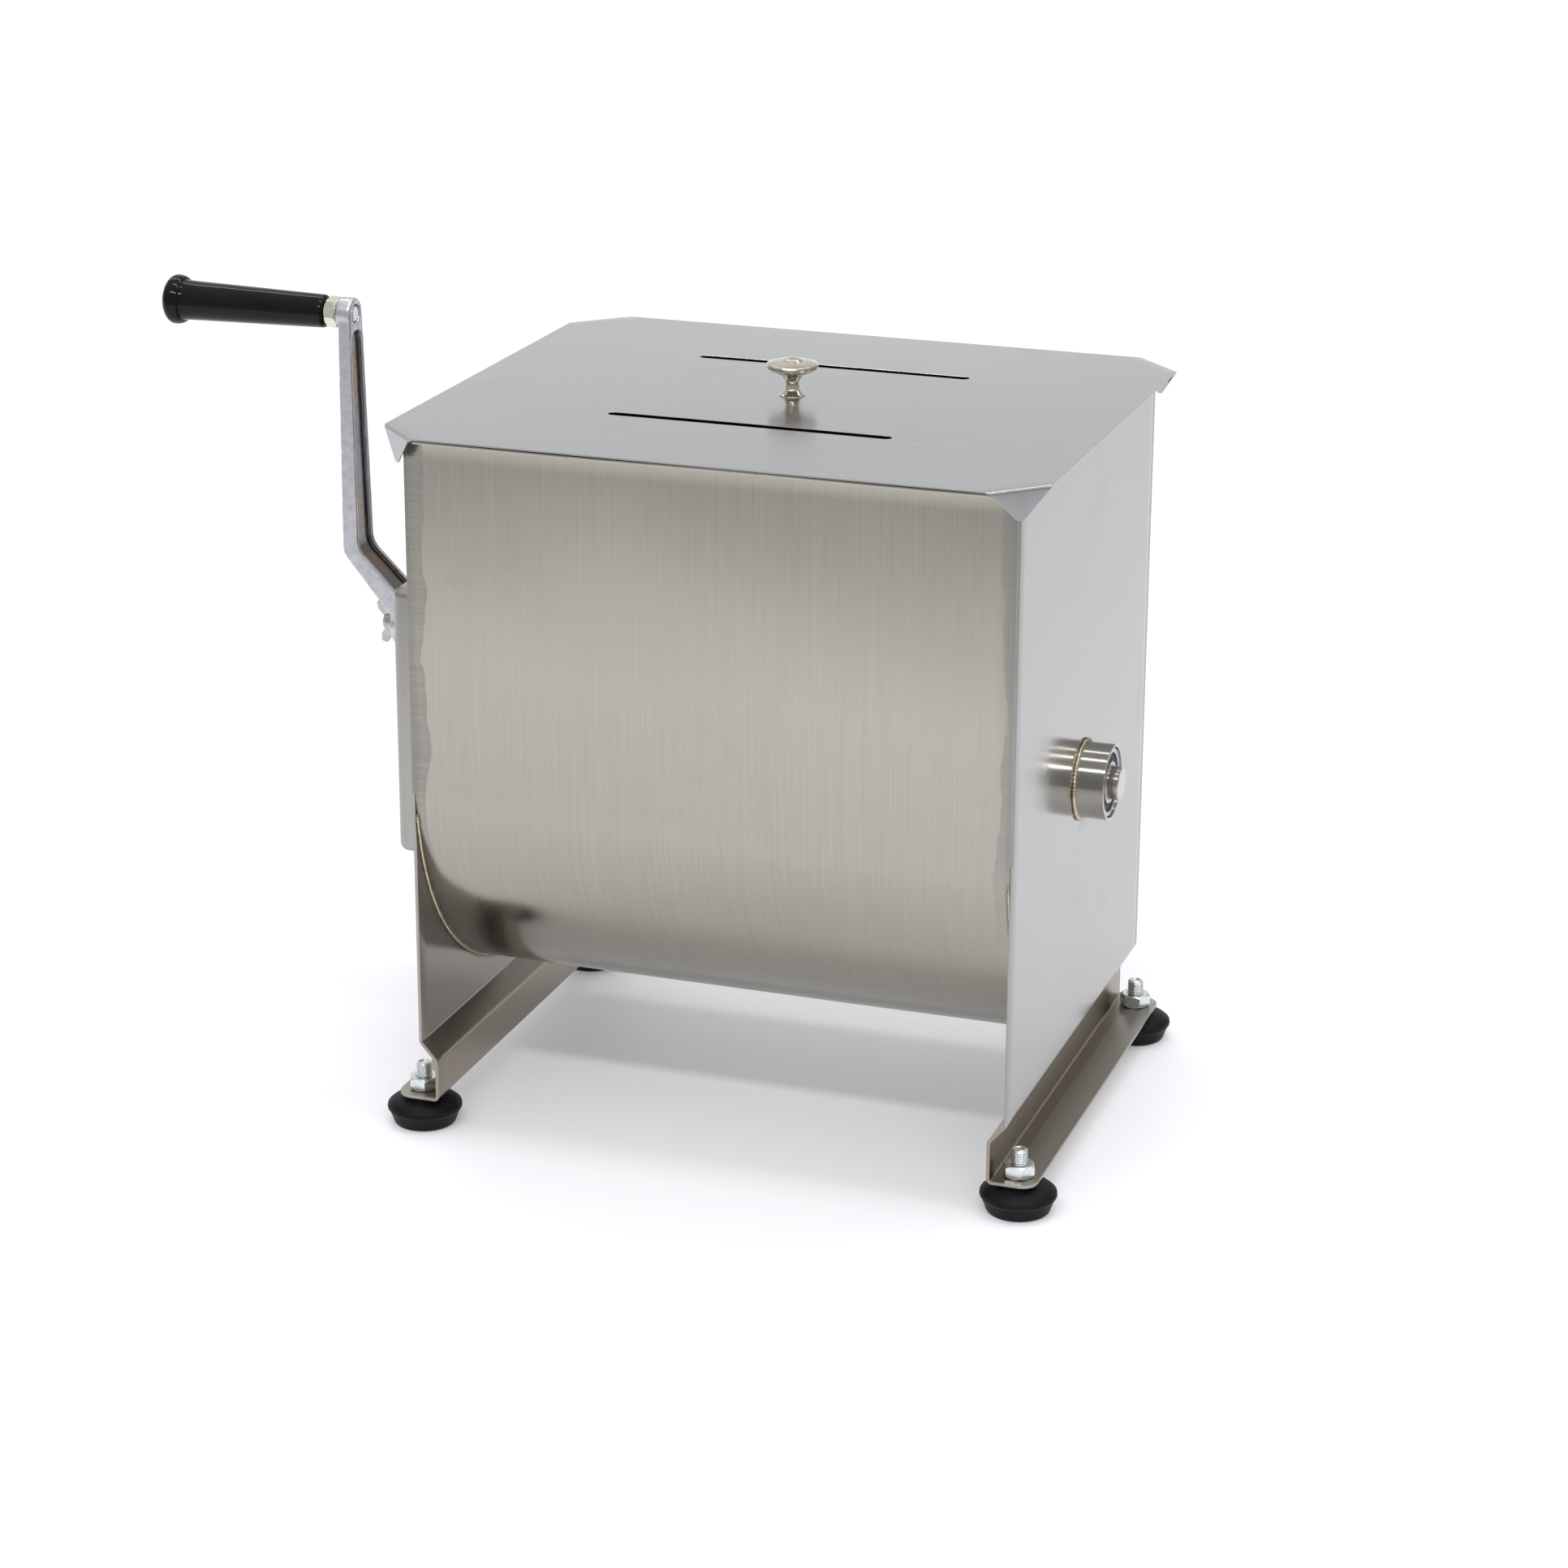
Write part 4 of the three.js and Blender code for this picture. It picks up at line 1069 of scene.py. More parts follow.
@dataclass(frozen=True)
class PlatedMetal:
    """Zinc or nickel plate, or a plated casting, with a cloudy mottle.

    Attributes:
        name: the material's name.
        colour: the metal's own colour.
        cast: a second colour that the clouds lean to.
        roughness: the mean roughness.
        scale: clouds per metre.
        texture: bump height in metres.
        spread: how much the roughness varies.
        sunk_colour: painted shade in hollows marked on the mesh, if there are any.
        sunk_stain: a brownish stain colour mottled into that painted shade.
    """

    name: str
    colour: Colour
    cast: Colour
    roughness: float
    scale: float = 180.0
    texture: float = 0.00004
    spread: float = 0.12
    sunk_colour: Colour | None = None
    sunk_stain: Colour | None = None

    def make(self) -> Material:
        """Builds the material."""
        material, nodes, shader = new_material(self.name, 1.0)
        point = nodes.here()
        mottle = nodes.group(plating_mottle(), Vector=point, Scale=self.scale)
        cloud, half = mottle["Cloud"], self.spread / 2
        colour = nodes.mix(nodes.span(cloud, 0.35, 0.7), self.colour, self.cast)
        colour = nodes.mix(mottle["Speckle"] * 0.15, colour, scaled_colour(self.colour, 0.6))
        rough = nodes.span(cloud, 0.3, 0.7, self.roughness - half, self.roughness + half)
        if self.sunk_colour:
            mark = nodes.wire("ShaderNodeAttribute", {"attribute_name": "sunk"}, "Fac")
            sunk = nodes.span(mark, 0.25, 0.8, smooth=True)
            stain = nodes.span(nodes.streaks(point, (60.0, 60.0, 22.0)), 0.4, 0.62)
            # painted shade: the channels are darkened, with a stain mottled in
            colour = nodes.mix(sunk, colour, nodes.mix(stain, self.sunk_colour, self.sunk_stain))
            rough = rough - sunk * 0.2
        nodes.feed(shader, Base_Color=colour, Roughness=rough, Normal=nodes.bump(cloud, self.texture, 0.6))
        return material


@dataclass(frozen=True)
class Moulded:
    """Rubber or plastic from a mould.

    Attributes:
        name: the material's name.
        colour: its own colour.
        bloom: a second colour that clouds lean to.
        roughness: the mean roughness.
        texture: bump height in metres.
        ior: how strongly it reflects.
        scale: grains of the bump per metre.
    """

    name: str
    colour: Colour
    bloom: Colour
    roughness: float
    texture: float
    ior: float
    scale: float = 900.0

    def make(self) -> Material:
        """Builds the material."""
        material, nodes, shader = new_material(self.name, 0.0, self.ior)
        point = nodes.here()
        smudge = nodes.group(handling_marks(), Vector=point, Seed=7.0)["Smudge"]
        cloud = nodes.span(nodes.noise(point, 60.0, 4.0, 0.6), 0.4, 0.75)
        nodes.feed(shader, Base_Color=nodes.mix(cloud, self.colour, self.bloom),
                   Roughness=smudge * 0.06 + self.roughness,
                   Normal=nodes.bump(nodes.noise(point, self.scale, 3.0), self.texture, 0.6))
        return material


class Finish(Enum):
    """Every finish on the machine."""

    WRAPPER = BrushedSheet("wrapper_brushed", (0.435, 0.414, 0.355), 0.18, (1500.0, 1500.0, 16.0), 0.3,
                           seam=0.1827, seed=1.3)
    PLATE = BrushedSheet("plate_satin", (0.35, 0.345, 0.333), 0.165, (900.0, 12.0, 900.0), 0.12,
                         weld_radius=0.0235, seed=4.1)
    LID = BrushedSheet("lid_sheet", (0.44, 0.44, 0.443), 0.2, (12.0, 1300.0, 1300.0), 0.32, seed=8.2)
    COVER = BrushedSheet("gear_cover_brushed", (0.37, 0.36, 0.335), 0.30, (1300.0, 1300.0, 14.0), 0.4, seed=2.2)
    BEAD = WeldBead("weld_bead")
    TUBE = TurnedMetal("bearing_tube", (0.47, 0.45, 0.41), 0.14, SHAFT_Z)
    SHAFT = TurnedMetal("shaft_steel", (0.50, 0.47, 0.42), 0.18, SHAFT_Z)
    CRANK_SHAFT = TurnedMetal("crank_shaft_steel", (0.64, 0.62, 0.58), 0.22, CRANK_Z)
    BEARING = TurnedMetal("bearing_steel", (0.40, 0.40, 0.41), 0.24, SHAFT_Z, 0.0006, 0.05)
    BRONZE = TurnedMetal("bush_bronze", (0.62, 0.45, 0.24), 0.4, CRANK_Z)
    PADDLE = BrushedSheet("paddle_steel", (0.63, 0.615, 0.58), 0.3, (300.0, 300.0, 300.0), 0.08, seed=5.5)
    GEAR = PlatedMetal("gear_steel", (0.50, 0.50, 0.49), (0.36, 0.34, 0.30), 0.32)
    ZINC = PlatedMetal("zinc_plate", (0.78, 0.81, 0.83), (0.70, 0.74, 0.72), 0.26, 260.0, 0.00005)
    ZINC_STRAW = PlatedMetal("zinc_plate_straw", (0.74, 0.76, 0.70), (0.68, 0.66, 0.48), 0.28, 160.0, 0.00005)
    # its last two colours are painted shade in the channels and a stain mottled into it
    CASTING = PlatedMetal("arm_casting", (0.63, 0.64, 0.66), (0.48, 0.485, 0.505), 0.37, 200.0, 0.00014, 0.2,
                          (0.17, 0.165, 0.19), (0.20, 0.16, 0.125))
    NICKEL = PlatedMetal("nickel_plate", (0.62, 0.585, 0.50), (0.52, 0.475, 0.37), 0.11, 120.0, 0.00002, 0.06)
    WING_NICKEL = PlatedMetal("wing_nut_nickel", (0.56, 0.53, 0.48), (0.40, 0.37, 0.33), 0.32, 200.0, 0.00008)
    SHIELD = Moulded("bearing_shield", (0.06, 0.062, 0.075), (0.11, 0.11, 0.13), 0.62, 0.00005, ior=1.4)
    RUBBER = Moulded("foot_rubber", (0.004, 0.004, 0.005), (0.010, 0.010, 0.011), 0.5, 0.00008, ior=1.25)
    PLASTIC = Moulded("grip_plastic", (0.003, 0.003, 0.0035), (0.006, 0.005, 0.006), 0.04, 0.00001, ior=1.3)

    @property
    def material(self) -> Material:
        """The material, built on first use."""
        return built(self)


@functools.cache
def built(finish: Finish) -> Material:
    """Builds one finish once."""
    return finish.value.make()


def dress(piece: Piece, finish: Finish) -> Piece:
    """Gives a piece one finish all over."""
    piece.data.materials.clear()
    piece.data.materials.append(finish.material)
    for face in piece.data.polygons:
        face.material_index = 0
    return piece


def install(piece: Piece, body: str, slot: str, *nodes: str) -> Piece:
    """Puts a finished piece on its body, in the place of the nodes that it stands for.

    Args:
        piece: the finished piece.
        body: the CAD body that it moves with.
        slot: the record's material slot; not used.
        nodes: the CAD nodes that it replaces, if any.

    Returns:
        The same piece.
    """
    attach(piece, body)
    if nodes:
        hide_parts(*nodes)
    LOG.info("%s on %s: %d faces", piece.name, body, len(piece.data.polygons))
    return piece


def dress_node(node: str, finish: Finish) -> None:
    """Gives a carried-over CAD node its finish."""
    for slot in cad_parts[node].material_slots:
        slot.material = finish.material


# ---------------------------------------------------------------- tub


@dataclass
class Tub:
    """The U-shaped wrapper, its two end plates and the welds that join them."""

    half_length: float = TUB_BOX.size.x / 2
    radius: float = 0.1513
    sheet: float = 0.0015
    rim_reach: float = TUB_BOX.high.y
    rim_corner: float = 0.0125
    rim_bend: float = 0.0012
    rim_nicks: tuple[float, ...] = (-0.075, 0.0385)
    plate_face: float = 0.185
    plate_sheet: float = 0.002
    joggle_inset: float = 0.0101
    joggle_top: float = 0.0576
    joggle_bottom: float = 0.046
    flange_top: float = 0.0219
    flange_corner: float = 0.010
    foot_x: float = 0.1887
    foot_y: float = 0.1371
    weld_start: float = 6.0
    weld_radius: float = 0.0010
    seam_gap: float = 0.0003
    ground_low: float = -0.010

    def build(self) -> None:
        """Makes every piece of the tub."""
        install(self.wrapper(), "frame", "brushed_sheet", "tub_wrapper")
        for side in Side:
            install(self.end_plate(side), "frame", "satin_plate", f"{side.word}_end_plate")
            install(self.belly_weld(side), "frame", "satin_plate")

    def wrapper(self) -> Piece:
        """One sheet: rim, front wall, half-round bottom, rear wall and rim."""
        under = RIM_Z - self.sheet
        front = rounded([(-self.rim_reach, under, 0), (-self.radius, under, self.rim_bend),
                         (-self.radius, SHAFT_Z, 0)])
        bottom = arc(0, SHAFT_Z, self.radius, 180, 360, 96)
        rear = [(-y, z) for y, z in reversed(front)]
        line = spaced(front[:-1] + bottom + rear[1:], 0.014)

        def reach(y: float, z: float) -> float:
            """Half the sheet's length, less where the rim's corners are cut off."""
            beyond = abs(y) - (self.rim_reach - self.rim_corner)
            return self.half_length + self.seam_gap - max(0.0, beyond)

        sheet = FoldedSheet(line, self.sheet, reach, lambda a, b, w: Vector((CENTRE_X + w, a, b)), 36, 0.0004)
        piece = sheet.build("tub_wrapper_sheet")
        nicks = [pillar("nick", CENTRE_X + x, -self.rim_reach, 0.0008, RIM_Z - 0.003, RIM_Z + 0.001, 24)
                 for x in self.rim_nicks]
        cut_away(piece, nicks)
        return dress(soften_edges(piece, 0.0002), Finish.WRAPPER)

    def end_plate(self, side: Side) -> Piece:
        """One end sheet with its joggle and its turned-out foot flange."""
        leg = self.plate_face - self.joggle_inset
        line = rounded([(self.plate_face, RIM_Z, 0), (self.plate_face, self.joggle_top, 0.004),
                        (leg, self.joggle_bottom, 0.003), (leg, self.flange_top, 0.0015),
                        (PLATE_X, self.flange_top, 0)], 6)
        line = spaced(line, 0.016)
        if line[-2][0] < PLATE_X - self.flange_corner:
            line[-1:] = [(PLATE_X - self.flange_corner * (1 - math.sin(t)), self.flange_top)
                         for t in np.linspace(0, math.pi / 2, 9)]

        def reach(x: float, z: float) -> float:
            """Half the plate's width, less where the flange's corners are rounded."""
            beyond = max(0.0, x - (PLATE_X - self.flange_corner))
            return self.radius - (self.flange_corner - math.sqrt(max(0.0, self.flange_corner**2 - beyond**2)))

        sheet = FoldedSheet(line, -self.plate_sheet, reach,
                            lambda a, b, w: Vector((CENTRE_X + side.value * a, w, b)), 30, 0.00012)
        piece = sheet.build(f"{side.word}_end_sheet")
        x = CENTRE_X + side.value * self.plate_face
        tools = [bar("bore", x - 0.01, x + 0.01, 0.0231, 0, SHAFT_Z, 96)]
        tools += [pillar("foot_hole", CENTRE_X + side.value * self.foot_x, y, 0.0053, 0, 0.03)
                  for y in (-self.foot_y, self.foot_y)]
        cut_away(piece, tools)
        dress(soften_edges(piece, 0.0002, 2, 60.0), Finish.PLATE)
        piece.data.materials.append(Finish.WRAPPER.material)
        for face in piece.data.polygons:
            if abs(face.normal.y) > 0.8 and face.center.z > SHAFT_Z + self.ground_low:
                face.material_index = 1
        return piece

    def belly_weld(self, side: Side) -> Piece:
        """The bead under the tub, in the corner between the wrapper and an end plate."""
        reach = self.radius + self.weld_radius * 0.15
        x = CENTRE_X + side.value * (self.plate_face - self.plate_sheet - self.weld_radius * 0.55)
        line = arc(0, SHAFT_Z, reach, 180 + self.weld_start, 360 - self.weld_start, 240)
        points = [Vector((x, y, z)) for y, z in line]
        return lay_weld(f"{side.word}_belly_weld", points, self.weld_radius, 0.0024, 5 + side.value, False)


# ---------------------------------------------------------------- bearings and shaft


@dataclass
class ShaftLine:
    """The paddle shaft, the bearings at its ends and the paddles on it."""

    tube_outer: float = 0.023
    tube_bore: float = 0.0213
    shaft_radius: float = 0.010
    paddle_count: int = 6
    paddle_pitch: float = 0.056
    paddle_tip: float = 0.143
    blade_width: float = 0.046
    blade_depth: float = 0.062
    blade_sheet: float = 0.004
    blade_turn: float = math.radians(35)

    @property
    def centre(self) -> Vector:
        """A point on the shaft's axis."""
        return Vector((0, 0, SHAFT_Z))

    def build(self) -> None:
        """Makes the shaft, both ends and the paddles."""
        for side in Side:
            self.bearing_end(side)
        install(self.shaft(), "mixing_shaft", "turned_steel", "paddle_shaft")
        install(self.paddles(), "mixing_shaft", "turned_steel",
                *[f"paddle_{i + 1}" for i in range(self.paddle_count)])

    def bearing_end(self, side: Side) -> None:
        """The tube, the two rings, the shield and the lip seal at one end."""
        word = side.word
        tube = Place.of(f"{word}_bearing_housing")
        profile = ring_profile(tube.low.x, tube.high.x, self.tube_bore, self.tube_outer, 0.0004)
        housing = turned(f"{word}_bearing_tube", profile, Axis.X, self.centre, 128)
        install(dress(housing, Finish.TUBE), "frame", "turned_steel", f"{word}_bearing_housing")
        outer = Place.of(f"{word}_bearing_outer_ring")
        race = turned(f"{word}_outer_race", ring_profile(outer.low.x, outer.high.x, 0.0178, 0.021, 0.0006),
                      Axis.X, self.centre, 128)
        install(dress(race, Finish.BEARING), "frame", "bearing_steel", f"{word}_bearing_outer_ring")
        inner = turned(f"{word}_inner_race", ring_profile(outer.low.x, outer.high.x, 0.0103, 0.0129, 0.0005),
                       Axis.X, self.centre, 128)
        install(dress(inner, Finish.BEARING), "mixing_shaft", "bearing_steel", f"{word}_bearing_inner_ring")
        install(dress(self.shield(word, outer), Finish.SHIELD), "frame", "bearing_shield",
                f"{word}_bearing_shield")
        seal = Place.of(f"{word}_lip_seal")
        lip = turned(f"{word}_shaft_seal", ring_profile(seal.low.x, seal.high.x, 0.0103, 0.021, 0.0006), Axis.X,
                     self.centre, 96)
        install(dress(lip, Finish.SHIELD), "frame", "bearing_shield", f"{word}_lip_seal")
        face = CENTRE_X + side.value * (Tub.plate_face + 0.0007)
        circle = arc(0, SHAFT_Z, 0.0236, 100, 460, 160)[:-1]
        points = [Vector((face, y, z)) for y, z in circle]
        bead = lay_weld(f"{word}_tube_weld", points, 0.00125, 0.0021, 11 + side.value, True)
        install(bead, "frame", "satin_plate")

    def shield(self, word: str, race: Place) -> Piece:
        """A rubber shield with a dished face and two raised rings on each side."""
        low, high = race.low.x + 0.0008, race.high.x - 0.0008
        face = [(0.0132, 0.0), (0.0137, 0.0), (0.0139, 0.0006), (0.0146, 0.0006), (0.0149, 0.0002),
                (0.0163, 0.0002), (0.0166, 0.0006), (0.0171, 0.0006), (0.0173, 0.0), (0.0175, 0.0)]
        profile = [(low + sunk, radius) for radius, sunk in face]
        profile += [(high - sunk, radius) for radius, sunk in reversed(face)]
        profile.append(profile[0])
        return turned(f"{word}_shield_ring", profile, Axis.X, self.centre, 128)

    def shaft(self) -> Piece:
        """The bar from gear to free end, with chamfered ends, a ring groove and a keyway."""
        node = Place.of("paddle_shaft")
        ring, key = Place.of("gear_retaining_ring"), Place.of("gear_key")
        r, ease, play, groove = self.shaft_radius, 0.0008, 0.00015, 0.0088
        profile = [(node.low.x, 0), (node.low.x, r - ease), (node.low.x + ease, r), (ring.low.x - play, r),
                   (ring.low.x - play, groove), (ring.high.x + play, groove), (ring.high.x + play, r),
                   (node.high.x - ease, r), (node.high.x, r - ease), (node.high.x, 0)]
        piece = turned("paddle_shaft_bar", profile, Axis.X, self.centre, 96)
        gap = 0.0003
        low, high = key.low - Vector((gap, gap, gap)), key.high + Vector((gap, gap, 0.002))
        return dress(cut_away(piece, [block("keyway", low, high)]), Finish.SHAFT)

    def paddles(self) -> Piece:
        """One paddle, repeated along the shaft, each a sixth of a turn on from the last."""
        foot, arm = self.shaft_radius + 0.00035, 0.006
        low = self.paddle_tip - self.blade_depth
        profile = [(foot, 0), (foot, arm + 0.002), (foot + 0.001, arm + 0.0012), (foot + 0.003, arm),
                   (low + 0.034, arm), (low + 0.037, arm - 0.003), (low + 0.037, 0)]
        stem = turned("stem", profile, Axis.Z, Vector(), 48)
        half, corner = self.blade_width / 2, 0.012
        outline = rounded([(0, low, 0), (half, low, corner), (half, self.paddle_tip, corner),
                           (0, self.paddle_tip, 0)], 8)
        outline += [(-x, z) for x, z in reversed(outline[1:-1])]
        blade = soften_edges(slab("blade", outline, self.blade_sheet / 2), 0.0008, 3)
        blade.data.transform(Matrix.Rotation(self.blade_turn, 4, "Z"))
        paddle = gathered("paddle", [stem, blade])
        middle = (self.paddle_count - 1) / 2
        points = [Vector((CENTRE_X + (i - middle) * self.paddle_pitch, 0, SHAFT_Z))
                  for i in range(self.paddle_count)]
        return set_copies("paddle_set", paddle, points, Finish.PADDLE.material, Vector((math.pi / 3, 0, 0)))


# ---------------------------------------------------------------- gear case


@dataclass
class GearCase:
    """The cover over the gears, and the screws and pillars that hold it."""

    sheet: float = 0.0015
    corner: float = 0.006

    def build(self) -> None:
        """Makes the cover and its fixings, and dresses the pieces inside."""
        install(self.cover(), "frame", "brushed_sheet", "gear_cover")
        spots = [Place.of(f"cover_screw_{i}") for i in range(1, 5)]
        install(self.screws(spots), "frame", "zinc_plate", *[f"cover_screw_{i}" for i in range(1, 5)])
        for i in range(1, 5):
            dress_node(f"cover_pillar_{i}", Finish.ZINC)
        for node, finish in (("driven_gear", Finish.GEAR), ("pinion", Finish.GEAR), ("gear_key", Finish.GEAR),
                             ("gear_retaining_ring", Finish.GEAR), ("crank_bearing_housing", Finish.CRANK_SHAFT),
                             ("crank_bush", Finish.BRONZE)):
            dress_node(node, finish)

    def cover(self) -> Piece:
        """A shallow pressed box, open towards the end plate."""
        box = Place.of("gear_cover")
        middle, half = box.middle, box.size / 2
        work = bmesh.new()
        bmesh.ops.create_cube(work, size=2.0)
        for vertex in work.verts:
            vertex.co = middle + Vector(c * h for c, h in zip(vertex.co, half))
        inner = [f for f in work.faces if f.normal.x > 0.5]
        kept = [e for e in work.edges if not any(f in inner for f in e.link_faces)]
        bmesh.ops.bevel(work, geom=kept, offset=self.corner, segments=8, profile=0.5, affect="EDGES")
        bmesh.ops.delete(work, geom=[f for f in work.faces if f.normal.x > 0.9], context="FACES_ONLY")
        mesh = bpy.data.meshes.new("gear_cover_shell")
        work.to_mesh(mesh)
        work.free()
        piece = give_wall(linked("gear_cover_shell", mesh), self.sheet)
        x = box.low.x
        tools = [bar("crank_hole", x - 0.01, x + 0.01, 0.0085, 0, CRANK_Z)]
        for i in range(1, 5):
            spot = Place.of(f"cover_screw_{i}").middle
            tools.append(bar("screw_hole", x - 0.01, x + 0.01, 0.0028, spot.y, spot.z, 32))
        cut_away(piece, tools)
        return dress(soften_edges(piece, 0.0003, 2, 60.0), Finish.COVER)

    def screws(self, spots: Sequence[Place]) -> Piece:
        """Four pan-head screws with a cross recess."""
        length = spots[0].size.x
        low = -length / 2
        profile = rounded([(low, 0, 0), (low, 0.0030, 0.001), (low + 0.0012, 0.0047, 0.0008), (low + 0.003, 0.0048, 0),
                           (low + 0.003, 0.0025, 0), (-low, 0.0025, 0), (-low, 0, 0)], 4)
        profile[0] = (low - 0.0003, 0)
        screw = turned("screw", profile, Axis.X, Vector(), 40)
        tools = []
        for turn in (0, math.pi / 2):
            slot = block("recess", (low - 0.001, -0.0024, -0.0005), (low + 0.0016, 0.0024, 0.0005))
            slot.data.transform(Matrix.Rotation(turn, 4, "X"))
            tools.append(slot)
        cut_away(screw, tools)
        return set_copies("cover_screw_set", screw, [s.middle for s in spots], Finish.ZINC.material,
                          chance=Vector((1.5, 0, 0)), seed=4)


# ---------------------------------------------------------------- crank


@dataclass
class Crank:
    """The dog-leg arm with its channels, the spindle, nut and grip, and the wing nut on the hub."""

    hub_radius: float = 0.0136
    boss_radius: float = 0.0098
    near: tuple[Bend, ...] = ((0.246, CRANK_Z, 0), (0.246, 0.285, 0.004), (0.282, 0.3205, 0.012),
                              (0.2842, HANDLE_Z, 0))
    far: tuple[Bend, ...] = ((0.2604, CRANK_Z, 0), (0.2607, 0.2802, 0.002), (0.2925, 0.318, 0.012),
                             (0.2924, HANDLE_Z, 0))
    channel_depth: float = 0.0027
    channel_rim: float = 0.0024
    channel_foot: float = 0.290
    channel_top: float = 0.4585

    def build(self) -> None:
        """Makes every piece of the crank."""
        install(self.arm(), "crank", "cast_arm", "crank_arm")
        install(self.spindle(), "crank", "zinc_plate", "handle_spindle")
        install(self.nut(), "crank", "zinc_plate", "handle_nut")
        install(self.grip(), "grip", "grip_plastic", "grip")
        install(self.wing_nut(), "wing_nut", "nickel", "wing_nut")
        install(self.shaft(), "crank", "turned_steel", "crank_shaft")

    def half_width(self, z: float) -> float:
        """The arm's reach to each side at a height."""
        share = (z - CRANK_Z) / (HANDLE_Z - CRANK_Z)
        return self.hub_radius - 0.0006 + (self.boss_radius - self.hub_radius) * min(1.0, max(0.0, share))

    def strip(self, name: str, near: Sequence[Point], far: Sequence[Point],
              reach: Callable[[float], float]) -> Piece:
        """A closed bar between two lines in the plane of the crank, with a width that follows the height."""
        vertices, faces = [], []
        for (xn, zn), (xf, zf) in zip(near, far):
            for x, z in ((xn, zn), (xf, zf)):
                for sign in (-1, 1):
                    vertices.append((CENTRE_X - x, sign * reach(z), z))
        last = len(near) - 1
        for i in range(last):
            a, b = 4 * i, 4 * (i + 1)
            for j, k in ((0, 1), (1, 3), (3, 2), (2, 0)):
                faces.append((a + j, a + k, b + k, b + j))
        faces += [(0, 1, 3, 2), (4 * last, 4 * last + 1, 4 * last + 3, 4 * last + 2)]
        return object_from(name, vertices, faces)

    def arm(self) -> Piece:
        """Blade, hub and boss cast in one, with a channel down both faces."""
        near, far = (resampled(spaced(rounded(line, 8), 0.01), 48) for line in (self.near, self.far))
        blade = self.strip("blade", near, far, self.half_width)

        def channel(z: float) -> float:
            """The channel's reach to each side at a height, with a round top."""
            flat = self.half_width(z) - self.channel_rim
            rise = z - (self.channel_top - flat)
            return flat if rise <= 0 else math.sqrt(max(flat**2 - rise**2, 1e-10))

        tools = []
        for name, line, sign, raised in (("near_channel", near, 1, 0.0), ("far_channel", far, -1, 0.008)):
            foot = self.channel_foot + raised
            part = [p for p in resampled(line, 160) if foot < p[1] < self.channel_top]
            inner, outer = [], []
            for i, (x, z) in enumerate(part):
                ahead = Vector(part[min(i + 1, len(part) - 1)]) - Vector(part[max(i - 1, 0)])
                side = Vector((ahead.y, -ahead.x)).normalized() * sign
                inner.append((x + side.x * self.channel_depth, z + side.y * self.channel_depth))
                outer.append((x - side.x * 0.004, z - side.y * 0.004))
            tools.append(self.strip(name, inner, outer, channel))
        cut_away(blade, tools)
        hub_in, hub_out = CENTRE_X - 0.242, CENTRE_X - 0.2615
        boss_in, boss_out = CENTRE_X - 0.2843, CENTRE_X - 0.2944
        hub = turned("hub", rod_profile(hub_out, hub_in, self.hub_radius, 0.001), Axis.X,
                     Vector((0, 0, CRANK_Z)))
        boss = turned("boss", rod_profile(boss_out, boss_in, self.boss_radius, 0.001), Axis.X,
                      Vector((0, 0, HANDLE_Z)))
        whole = gathered("crank_arm_casting", [blade, hub, boss])
        modify(whole, "REMESH", mode="VOXEL", voxel_size=0.0005)
        bake_modifiers(whole)
        bores = [bar("spindle_bore", boss_out - 0.005, boss_in + 0.005, 0.0055, 0, HANDLE_Z, 48),
                 bar("hub_bore", hub_out + 0.0033, hub_in + 0.005, 0.0078, 0, CRANK_Z, 48),
                 bar("stud_bore", hub_out - 0.005, hub_out + 0.006, 0.0043, 0, CRANK_Z, 48)]
        cut_away(whole, bores)
        modify(whole, "SMOOTH", factor=0.5, iterations=9)
        modify(whole, "DECIMATE", ratio=0.35)
        dress(bake_modifiers(whole, 180.0), Finish.CASTING)
        self.mark_channels(whole, near, far, channel)
        return whole

    def mark_channels(self, piece: Piece, near: Sequence[Point], far: Sequence[Point],
                      channel: Callable[[float], float]) -> None:
        """Stores at each point how deep it lies in a channel, from 0 to 1, for the finish to use."""
        heights = {sign: np.array(line) for sign, line in ((1, near), (-1, far))}
        depths = []
        for vertex in piece.data.vertices:
            x, y, z = vertex.co
            deepest = 0.0
            if self.channel_foot < z < self.channel_top and abs(y) < channel(z) + 0.0006:
                for sign, line in heights.items():
                    surface = np.interp(z, line[:, 1], line[:, 0])
                    sunk = sign * ((CENTRE_X - surface) - x) / self.channel_depth
                    deepest = max(deepest, sunk if sunk < 1.6 else 0.0)
            depths.append(min(1.0, deepest))
        mark = piece.data.attributes.new("sunk", "FLOAT", "POINT")
        mark.data.foreach_set("value", depths)

    def spindle(self) -> Piece:
        """The bolt that the grip turns on; its end shows, roughly upset, in the boss."""
        node = Place.of("handle_spindle")
        r = 0.005
        profile = [(node.low.x, 0), (node.low.x, r - 0.0006), (node.low.x + 0.0006, r), (node.high.x - 0.001, r),
                   (node.high.x - 0.0004, r - 0.0003), (node.high.x, r - 0.0014), (node.high.x - 0.0002, r - 0.003),
                   (node.high.x - 0.0002, 0)]
        piece = turned("handle_spindle_bar", profile, Axis.X, Vector((0, 0, HANDLE_Z)), 64)
        return dress(piece, Finish.ZINC)

